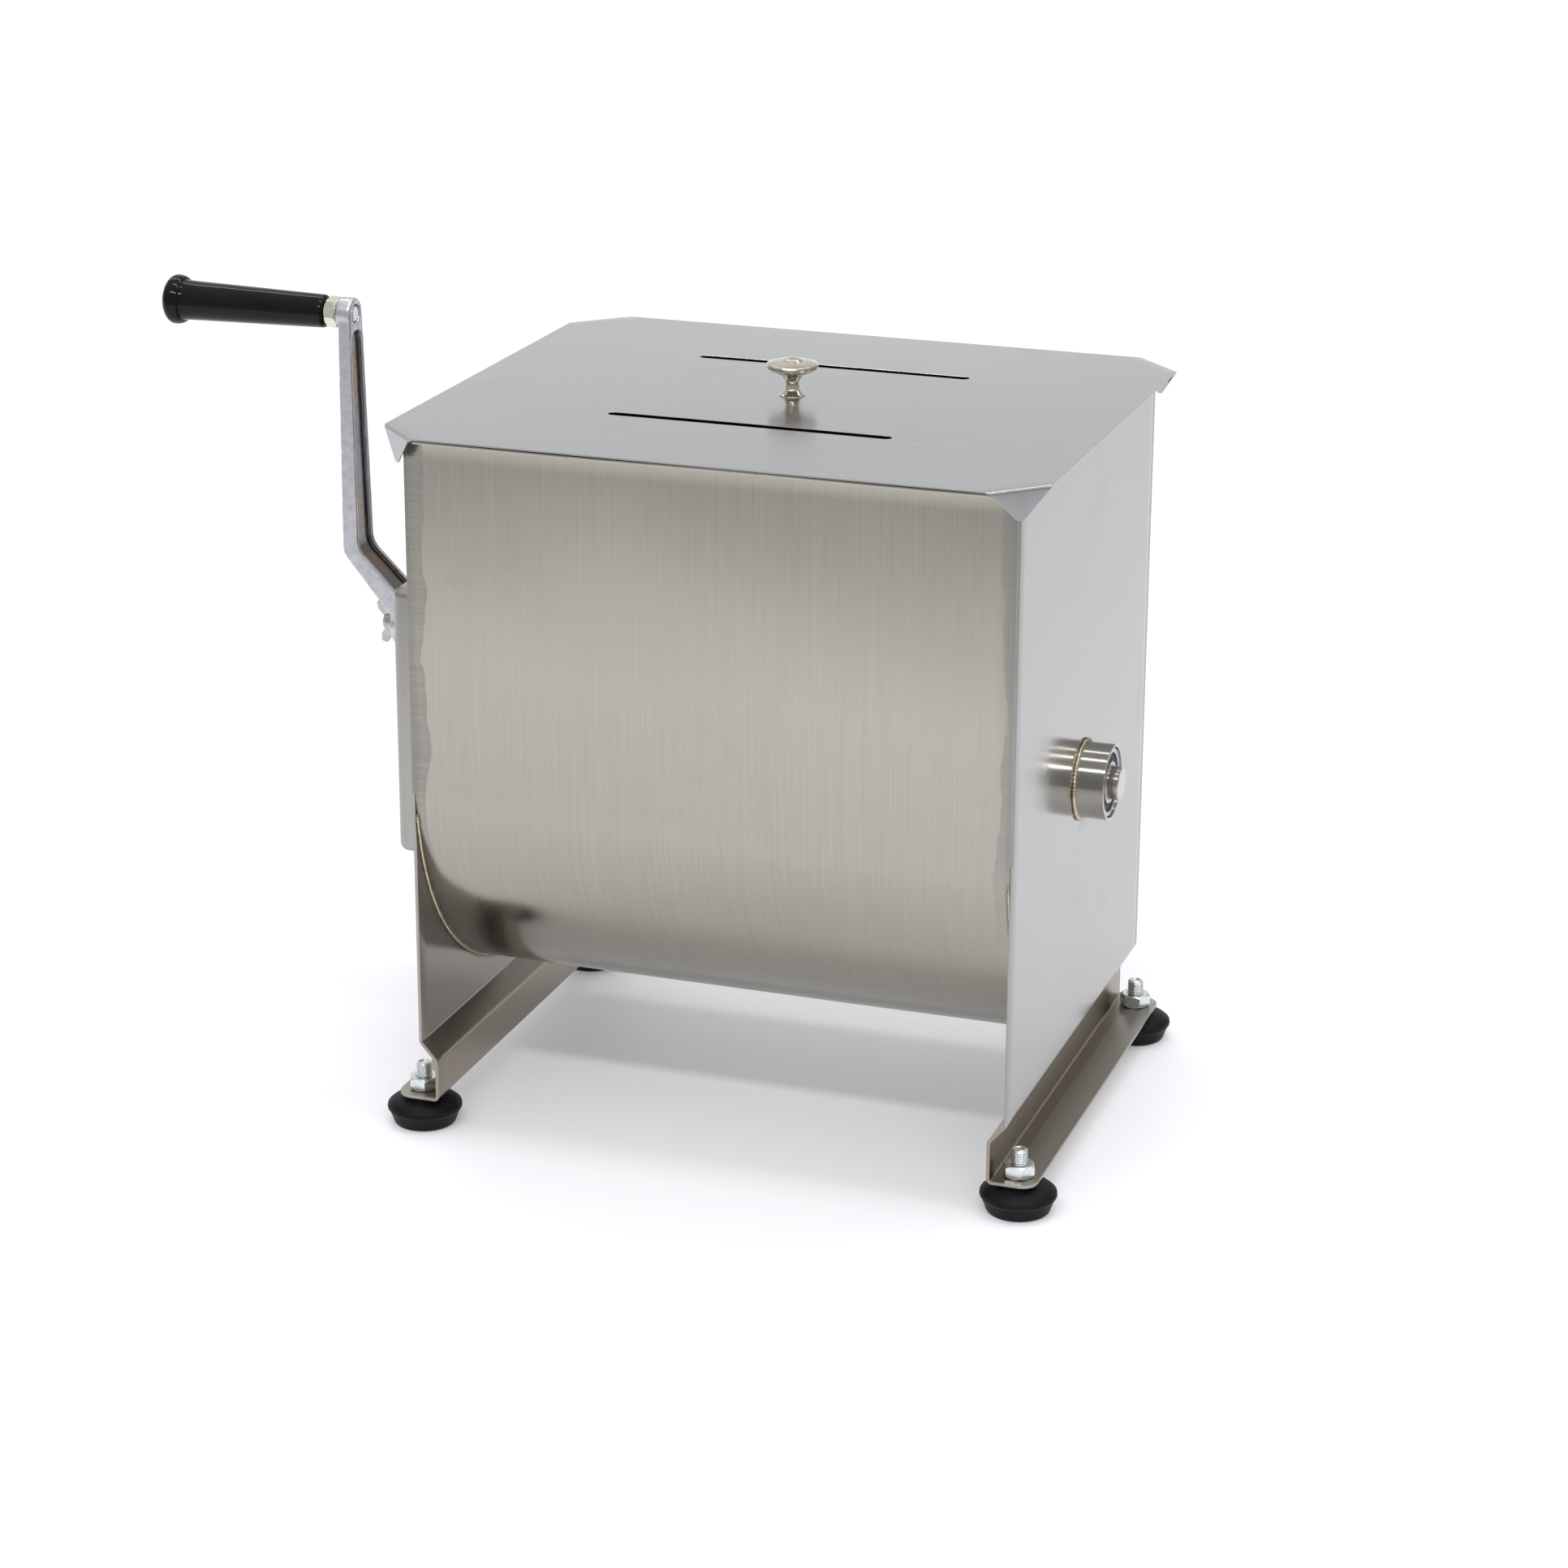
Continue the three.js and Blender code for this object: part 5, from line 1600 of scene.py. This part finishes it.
    def nut(self) -> Piece:
        """The lock nut between the arm and the grip."""
        node = Place.of("handle_nut")
        piece = hexagon_nut("handle_lock_nut", node.size.x, 0.017, 0.0052)
        turn = Matrix.Rotation(math.radians(90), 4, "Y") @ Matrix.Rotation(math.radians(10), 4, "Z")
        piece.data.transform(Matrix.Translation(Vector((node.low.x, 0, HANDLE_Z))) @ turn)
        return dress(piece, Finish.ZINC_STRAW)

    def grip(self) -> Piece:
        """A glossy tapered grip with a bulb at its end and a parting ring at the neck."""
        node = Place.of("grip")
        bore, start, end = 0.0053, node.high.x, node.low.x
        neck, neck_radius, bulb, bulb_radius = end + 0.0134, 0.0124, end + 0.0073, 0.0155
        profile = [(start, bore), (start, 0.0072)]
        profile += [(start - 0.0026 + 0.0026 * math.cos(t), 0.0076 + 0.0027 * math.sin(t))
                    for t in np.linspace(0.15, math.pi / 2, 8)]
        profile += [(start + (neck + 0.002 - start) * s, 0.0103 + (neck_radius - 0.0103) * s)
                    for s in np.linspace(0.1, 1.0, 12)]
        profile += [(bulb + (neck - bulb) * math.cos(t), neck_radius + 0.0002 +
                     (bulb_radius - neck_radius - 0.0002) * math.sin(t)) for t in np.linspace(0.1, math.pi / 2, 9)]
        profile += [(bulb - (bulb - end) * math.sin(t), bulb_radius * math.cos(t)**0.85)
                    for t in np.linspace(0.1, math.pi / 2 - 0.06, 16)]
        profile += [(end, 0), (end + 0.015, 0), (end + 0.015, bore), (start, bore)]
        piece = turned("grip_handle", profile, Axis.X, Vector((0, 0, HANDLE_Z)), 96)
        return dress(piece, Finish.PLASTIC)

    def wing_nut(self) -> Piece:
        """A cast wing nut with two ears that lean outwards."""
        node = Place.of("wing_nut")
        seat = node.high.x
        hub = turned("hub", rounded([(seat, 0, 0), (seat, 0.0076, 0.0006), (seat - 0.0062, 0.0062, 0.0008),
                                     (seat - 0.0082, 0.0050, 0.0008), (seat - 0.0082, 0, 0)], 3),
                     Axis.X, Vector(), 48)
        ear_line = rounded([(-0.0010, 0.003, 0), (-0.0050, 0.0102, 0.004), (-0.0080, 0.0150, 0.002),
                            (-0.0124, 0.0142, 0.0020), (-0.0116, 0.0088, 0.003), (-0.0070, 0.003, 0)], 5)
        ears = [slab("ear", [(seat + x, sign * z) for x, z in ear_line], 0.0017) for sign in (-1, 1)]
        whole = gathered("wing_nut_casting", [hub, *ears])
        modify(whole, "REMESH", mode="VOXEL", voxel_size=0.0003)
        modify(whole, "SMOOTH", factor=0.5, iterations=6)
        bake_modifiers(whole)
        cut_away(whole, [bar("bore", seat - 0.02, seat + 0.005, 0.0043, 0, 0, 48)])
        modify(whole, "DECIMATE", ratio=0.5)
        bake_modifiers(whole, 180.0)
        lean = Matrix.Rotation(math.radians(13), 4, "X")
        whole.data.transform(Matrix.Translation(Vector((0, 0, CRANK_Z))) @ lean)
        return dress(whole, Finish.WING_NICKEL)

    def shaft(self) -> Piece:
        """The crank shaft with its threaded end."""
        node = Place.of("crank_shaft")
        r, stud, shoulder = 0.0075, 0.004, node.low.x + 0.0105
        pitch = 0.00125
        thread = threaded(pitch, stud, 0.00065, node.low.x, shoulder - 0.001)
        profile = [(node.low.x, 0), (node.low.x, stud - 0.0007)]
        profile += [(x, stud) for x in np.arange(node.low.x + 0.0004, shoulder, pitch / 6)]
        profile += [(shoulder, stud), (shoulder, r - 0.0005), (shoulder + 0.0005, r), (node.high.x - 0.0005, r),
                    (node.high.x, r - 0.0005), (node.high.x, 0)]
        piece = turned("crank_shaft_bar", profile, Axis.X, Vector((0, 0, CRANK_Z)), 64, thread, 50.0)
        return dress(piece, Finish.CRANK_SHAFT)


def resampled(line: Sequence[Point], count: int) -> list[Point]:
    """The same line with a given number of evenly spaced points."""
    points = np.array(line)
    steps = np.hypot(*np.diff(points, axis=0).T)
    along = np.concatenate([[0.0], np.cumsum(steps)])
    places = np.linspace(0, along[-1], count)
    return list(zip(np.interp(places, along, points[:, 0]), np.interp(places, along, points[:, 1])))


def threaded(pitch: float, major: float, depth: float, low: float,
             high: float) -> Callable[[float, float, float], float]:
    """Makes the rule that cuts a screw thread.

    Args:
        pitch: the distance between two turns.
        major: the thread's outer radius; other radii are left alone.
        depth: how deep it is cut.
        low: where it starts along the axis.
        high: where it ends.

    Returns:
        The rule, for a turned piece's radius_at.
    """

    def radius_at(angle: float, along: float, radius: float) -> float:
        """The radius once the thread is cut."""
        if not low <= along <= high or abs(radius - major) > 1e-6:
            return radius
        phase = (along / pitch - angle / (2 * math.pi)) % 1.0
        tooth = min(1.0, max(0.0, (abs(phase - 0.5) * 2 - 0.12) / 0.7))
        ease = min(1.0, (high - along) / pitch, (along - low) / pitch + 0.3)
        return radius - depth * tooth * max(0.0, ease)

    return radius_at


def hexagon_nut(name: str, height: float, across: float, bore: float) -> Piece:
    """A hexagon nut along Z from 0, with chamfered corners and a countersunk bore."""
    corner = across / math.sqrt(3)
    chamfer = 0.0013
    slope = (corner - across * 0.478) / chamfer
    steps = [chamfer * s for s in (0, 0.2, 0.4, 0.6, 0.8, 1.0)]
    profile = [(0.0006, bore), (0.0, bore + 0.0006)]
    profile += [(h, across * 0.478 + slope * h) for h in steps]
    profile += [(height - h, across * 0.478 + slope * h) for h in reversed(steps)]
    profile += [(height, bore + 0.0006), (height - 0.0006, bore), (0.0006, bore)]

    def radius_at(angle: float, along: float, radius: float) -> float:
        """The radius once the six flats are cut."""
        turn = (angle + math.pi / 6) % (math.pi / 3) - math.pi / 6
        return min(radius, across / 2 / math.cos(turn))

    return turned(name, profile, Axis.Z, Vector(), 120, radius_at, 25.0)


# ---------------------------------------------------------------- lid


@dataclass
class Lid:
    """The lift-off lid: one sheet with its corners folded down, two slots and a knob."""

    half_length: float = 0.2007
    half_width: float = 0.1721
    top: float = 0.4398
    sheet: float = 0.0009
    corner: float = 0.02865
    bend: float = 0.0022
    nose: float = 0.0045
    slot_y: float = 0.0778
    slot_reach: float = 0.0868
    slot_radius: float = 0.0035
    crown: float = 0.0010

    def build(self) -> None:
        """Makes the lid and its knob, and dresses the screw under it."""
        install(self.cover(), "lid", "lid_sheet", "lid")
        install(self.knob(), "lid", "nickel", "lid_knob")
        dress_node("knob_screw", Finish.ZINC)

    def flat_outline(self) -> list[Point]:
        """The flat blank: a rectangle whose corners reach as far as the folded flaps need."""
        corners = []
        grow = self.bend * (math.pi / 2 - 2) / math.sqrt(2)
        for x, y in ((-1, -1), (1, -1), (1, 1), (-1, 1)):
            corners.append((x * (self.half_length + grow), y * (self.half_width + grow), self.nose))
        ring = [((corners[0][0] + corners[1][0]) / 2, corners[0][1], 0), *corners[1:], corners[0],
                ((corners[0][0] + corners[1][0]) / 2, corners[0][1], 0)]
        return rounded(ring, 6)[:-1]

    def slot_outline(self, y: float) -> list[Point]:
        """A long hole with round ends."""
        reach, r = self.slot_reach - self.slot_radius, self.slot_radius
        return arc(reach, y, r, -90, 90, 10) + arc(-reach, y, r, 90, 270, 10)

    def fold(self, x: float, y: float) -> Vector:
        """Where a point of the flat blank lies once the lid is crowned and its corners are folded."""
        lift = self.crown * max(0.0, 1 - (x / self.half_length) ** 2) * max(0.0, 1 - (y / self.half_width) ** 2)
        line = (self.half_length + self.half_width - self.corner) / math.sqrt(2)
        out = Vector((math.copysign(1, x), math.copysign(1, y))) / math.sqrt(2)
        beyond = (abs(x) + abs(y)) / math.sqrt(2) - (line - self.bend)
        if beyond <= 0:
            return Vector((CENTRE_X + x, y, self.top + lift))
        angle = min(beyond / self.bend, math.pi / 2)
        forward = self.bend * math.sin(angle)
        down = self.bend * (1 - math.cos(angle)) + max(0.0, beyond - self.bend * math.pi / 2)
        flat = Vector((x, y)) + out * (forward - beyond)
        return Vector((CENTRE_X + flat.x, flat.y, self.top + lift - down))

    def cover(self) -> Piece:
        """Cuts the blank with its slots, folds it and gives it its thickness."""
        outlines = [self.flat_outline(), self.slot_outline(-self.slot_y), self.slot_outline(self.slot_y)]
        points, edges = [], []
        for outline in outlines:
            start = len(points)
            dense = spaced([*outline, outline[0]], 0.006)[:-1]
            points += dense
            edges += [(start + i, start + (i + 1) % len(dense)) for i in range(len(dense))]
        line = (self.half_length + self.half_width - self.corner) / math.sqrt(2) - self.bend
        for offset in np.linspace(0, self.bend * math.pi / 2, 7):
            for sx, sy in ((1, 1), (1, -1), (-1, 1), (-1, -1)):
                total = (line + offset) * math.sqrt(2)
                start = len(points)
                past = 0.0015
                ends = [(sx * (self.half_length + past), sy * (total - self.half_length - past)),
                        (sx * (total - self.half_width - past), sy * (self.half_width + past))]
                dense = spaced(ends, 0.004)
                points += dense
                edges += [(start + i, start + i + 1) for i in range(len(dense) - 1)]
        for x in np.arange(-self.half_length + 0.005, self.half_length - 0.004, 0.008):
            for y in np.arange(-self.half_width + 0.005, self.half_width - 0.004, 0.008):
                near_slot = abs(abs(y) - self.slot_y) < 0.0065 and abs(x) < self.slot_reach + 0.003
                near_fold = (abs(x) + abs(y)) / math.sqrt(2) > line - 0.004
                if not near_slot and not near_fold:
                    points.append((x, y))
        flat, _, faces, *_ = delaunay_2d_cdt([Vector(p) for p in points], edges, [], 1, 1e-7)
        kept = []
        for face in faces:
            x = sum(flat[i].x for i in face) / len(face)
            y = sum(flat[i].y for i in face) / len(face)
            over = math.hypot(max(0.0, abs(x) - (self.slot_reach - self.slot_radius)), abs(y) - self.slot_y)
            if over > self.slot_radius * 0.98:
                kept.append(face)
        piece = object_from("lid_cover", [self.fold(p.x, p.y) for p in flat], kept)
        give_wall(piece, self.sheet)
        return dress(soften_edges(piece, 0.00012, 1, 60.0), Finish.LID)

    def knob(self) -> Piece:
        """A turned mushroom knob with a stepped top and a waisted neck."""
        node = Place.of("lid_knob")
        base, rise, bore, bore_top = node.low.z + 0.0002, 0.0238, 0.00215, 0.0158
        shape = rounded([(0.0, bore, 0), (0.0, 0.0079, 0.0003), (0.0009, 0.0078, 0.0004), (0.0016, 0.0068, 0.0006),
                         (0.0042, 0.0043, 0.0030), (0.0088, 0.0035, 0.0045), (0.0128, 0.0066, 0.0040),
                         (0.0154, 0.0122, 0.0030), (0.0172, 0.0150, 0.0010), (0.0190, 0.0157, 0.0005),
                         (0.0199, 0.0152, 0.0006), (0.0209, 0.0118, 0.0040), (0.0212, 0.0076, 0.0014),
                         (0.0211, 0.0068, 0.0006), (0.0226, 0.0050, 0.0022), (0.0236, 0.0020, 0.0020),
                         (rise, 0.0, 0)], 6)
        profile = [(base + h, r) for h, r in shape]
        profile += [(base + bore_top, 0), (base + bore_top, bore), (base, bore)]
        piece = turned("lid_knob_turned", profile, Axis.Z, Vector((CENTRE_X, 0, 0)), 96)
        return dress(piece, Finish.NICKEL)


# ---------------------------------------------------------------- feet


@dataclass
class Feet:
    """Four levelling feet: a rubber pad, a threaded stud and a nut each."""

    names: tuple[str, ...] = tuple(f"{end}_{side}_foot" for side in ("left", "right")
                                   for end in ("front", "rear"))
    stud_radius: float = 0.005
    pitch: float = 0.0015
    spots: list[Vector] = field(default_factory=list)

    def build(self) -> None:
        """Makes the pads, studs and nuts, one mesh of each."""
        for name in self.names:
            middle = Place.of(f"{name}_pad").middle
            self.spots.append(Vector((middle.x, middle.y, 0)))
        pads = set_copies("foot_pad_set", self.pad(), self.spots, Finish.RUBBER.material)
        install(pads, "frame", "foot_rubber", *[f"{name}_pad" for name in self.names])
        studs = set_copies("foot_stud_set", self.stud(), self.spots, Finish.ZINC.material, Vector((0, 0, 1.3)))
        install(studs, "frame", "zinc_plate", *[f"{name}_stud" for name in self.names])
        nuts = set_copies("foot_nut_set", self.nut(), self.spots, Finish.ZINC.material,
                          chance=Vector((0, 0, 0.5)), seed=12)
        install(nuts, "frame", "zinc_plate", *[f"{name}_nut" for name in self.names])

    def pad(self) -> Piece:
        """A moulded pad with a rounded foot, a lip and a domed shoulder."""
        bore = 0.0053
        shape = rounded([(0.0, 0.0, 0), (0.0, 0.0185, 0.0022), (0.0085, 0.0216, 0.004), (0.0100, 0.0229, 0.0012),
                         (0.0124, 0.0226, 0.0012), (0.0150, 0.0195, 0.010), (0.0172, 0.0136, 0.0012),
                         (0.0178, 0.0122, 0.0006), (0.0196, 0.0120, 0.0004), (0.0196, bore, 0), (0.0055, bore, 0),
                         (0.0055, 0.0, 0)], 5)
        return turned("pad", shape, Axis.Z, Vector(), 72)

    def stud(self) -> Piece:
        """An M10 stud with its thread cut all the way."""
        node = Place.of(f"{self.names[0]}_stud")
        low, high, r = node.low.z, node.high.z, self.stud_radius
        thread = threaded(self.pitch, r, 0.00085, low + 0.012, high + self.pitch * 0.5)
        profile = [(low, 0), (low, r - 0.0005), (low + 0.0005, r), (low + 0.013, r)]
        profile += [(z, r) for z in np.arange(low + 0.0134, high - 0.0007, self.pitch / 7)]
        profile += [(high - 0.0004, r - 0.0007), (high, r - 0.0012), (high - 0.0001, r - 0.0020),
                    (high - 0.0007, r - 0.0026), (high - 0.0008, 0)]
        return turned("stud", profile, Axis.Z, Vector(), 40, thread, 60.0)

    def nut(self) -> Piece:
        """An M10 nut, seated on the flange."""
        node = Place.of(f"{self.names[0]}_nut")
        piece = hexagon_nut("nut", node.size.z, 0.017, 0.0048)
        piece.data.transform(Matrix.Translation(Vector((0, 0, node.low.z - 0.0002))))
        return piece


# ---------------------------------------------------------------- studio


@dataclass
class Studio:
    """A pale floor, soft overhead strips and the camera."""

    azimuth: float = 18.927
    elevation: float = 18.109
    roll: float = 0.2715
    distance: float = 2.3809
    aim: tuple[float, float, float] = (0.00013, 0.0, 0.24986)
    lens: float = 89.53
    shift: Point = (-0.00447, -0.05372)
    strip_end: float = 1.6
    strip_width: float = 0.15

    def build(self) -> None:
        """Sets up the whole studio."""
        self.camera()
        self.floor()
        self.lights()
        self.surroundings()
        bpy.context.scene.view_settings.view_transform = "Standard"

    def camera(self) -> None:
        """Places the camera from its angles and its distance to the tub."""
        az, el, roll = (math.radians(a) for a in (self.azimuth, self.elevation, self.roll))
        back = Vector((math.sin(az) * math.cos(el), -math.cos(az) * math.cos(el), math.sin(el)))
        right = Vector((math.cos(az), math.sin(az), 0))
        up = back.cross(right)
        level = math.cos(roll) * right + math.sin(roll) * up
        rise = -math.sin(roll) * right + math.cos(roll) * up
        data = bpy.data.cameras.new("camera")
        data.lens, data.sensor_width = self.lens, 36.0
        data.shift_x, data.shift_y = self.shift
        data.clip_start, data.clip_end = 0.05, 60.0
        camera = linked("camera", data)
        turn = Matrix((level, rise, back)).transposed()
        place = Vector(self.aim) + Vector((CENTRE_X, 0, 0)) + back * self.distance
        camera.matrix_world = Matrix.Translation(place) @ turn.to_4x4()
        bpy.context.scene.camera = camera

    def floor(self) -> None:
        """A pale round table top, with painted shade towards the room in front and to one side, and painted light
        glowing from it, most far behind.
        """
        profile = [(-0.02, 0), (-0.02, 6.0), (0.0, 6.0), (0.0, 0)]
        piece = turned("studio_floor", profile, Axis.Z, Vector((CENTRE_X, 0, 0)), 96)
        material, nodes, shader = new_material("studio_floor", 0.0)
        point = nodes.here()
        x, y, _ = nodes.parts(point)
        pale = nodes.mix(nodes.noise(point, 1.5), (0.88, 0.88, 0.93), (0.91, 0.905, 0.945))
        # painted shade: the floor darkens towards the room in front and to one side
        front = nodes.span(y, -1.55, -1.2, 0.45, 1.0)
        aside = nodes.span(x - y * 0.6, 0.6, 1.2, 1.0, 0.62)
        # painted light: the floor glows, more so further away and behind
        away = nodes.wire("ShaderNodeVectorMath", {"operation": "LENGTH"}, "Value", _0=point)
        glow = nodes.span(away, 0.6, 3.0, 0.19, 0.4) * nodes.span(y, -1.2, -0.2, 0.45, 1.0)
        nodes.feed(shader, Base_Color=nodes.mix(front * aside, (0.0, 0.0, 0.0), pale), Roughness=0.6,
                   Emission_Color=(1.0, 1.0, 1.0, 1.0), Emission_Strength=glow)
        piece.data.materials.append(material)

    def lights(self) -> None:
        """Three long strips overhead."""
        strips = (("front_strip", -0.72, -1.55, 1.9, 19.0), ("mid_strip", -0.62, -0.25, 2.1, 9.0),
                  ("rear_strip", -1.4, 0.75, 2.0, 9.0))
        for name, left, y, z, power in strips:
            middle, length = (left + self.strip_end) / 2, self.strip_end - left
            target = Vector((middle, y * 0.3, 0.0))
            self.panel(name, Vector((middle, y, z)), target, (length, self.strip_width), power)

    def panel(self, name: str, place: Vector, target: Vector, size: Point, power: float) -> None:
        """One soft rectangular light with its long side level."""
        data = bpy.data.lights.new(name, "AREA")
        data.shape = "RECTANGLE"
        data.size, data.size_y = size
        data.energy = power
        light = linked(name, data)
        light.location = place
        light.rotation_mode = "QUATERNION"
        light.rotation_quaternion = (target - place).to_track_quat("-Z", "Y")

    def surroundings(self) -> None:
        """Soft light from all round: paler above and behind, greyer in front."""
        world = bpy.data.worlds.new("studio_air")
        bpy.context.scene.world = world
        world.use_nodes = True
        tree = world.node_tree
        tree.nodes.clear()
        nodes = Nodes(tree)
        x, y, z = nodes.parts(nodes.wire("ShaderNodeTexCoord", output="Generated"))
        backdrop = nodes.span(x * -0.5 + y * 0.85, 0.58, 0.86, 0.0, 0.62, smooth=True)
        backdrop = backdrop * nodes.span(z, 0.1, 0.27, 1.0, 0.5)
        above = nodes.span(z, 0.3, 1.0, 0.0, 0.35)
        air = nodes.wire("ShaderNodeBackground", Color=(0.98, 0.99, 1.0, 1.0), Strength=backdrop + above + 0.48)
        nodes.node("ShaderNodeOutputWorld", _0=air)


def main() -> None:
    """Builds the studio and then the machine, sub-assembly by sub-assembly."""
    logging.basicConfig(level=logging.INFO, format="%(name)s: %(message)s")
    for part in (Studio(), Tub(), ShaftLine(), GearCase(), Crank(), Lid(), Feet()):
        LOG.info("building %s", type(part).__name__)
        part.build()


if __name__ == "__main__":
    main()
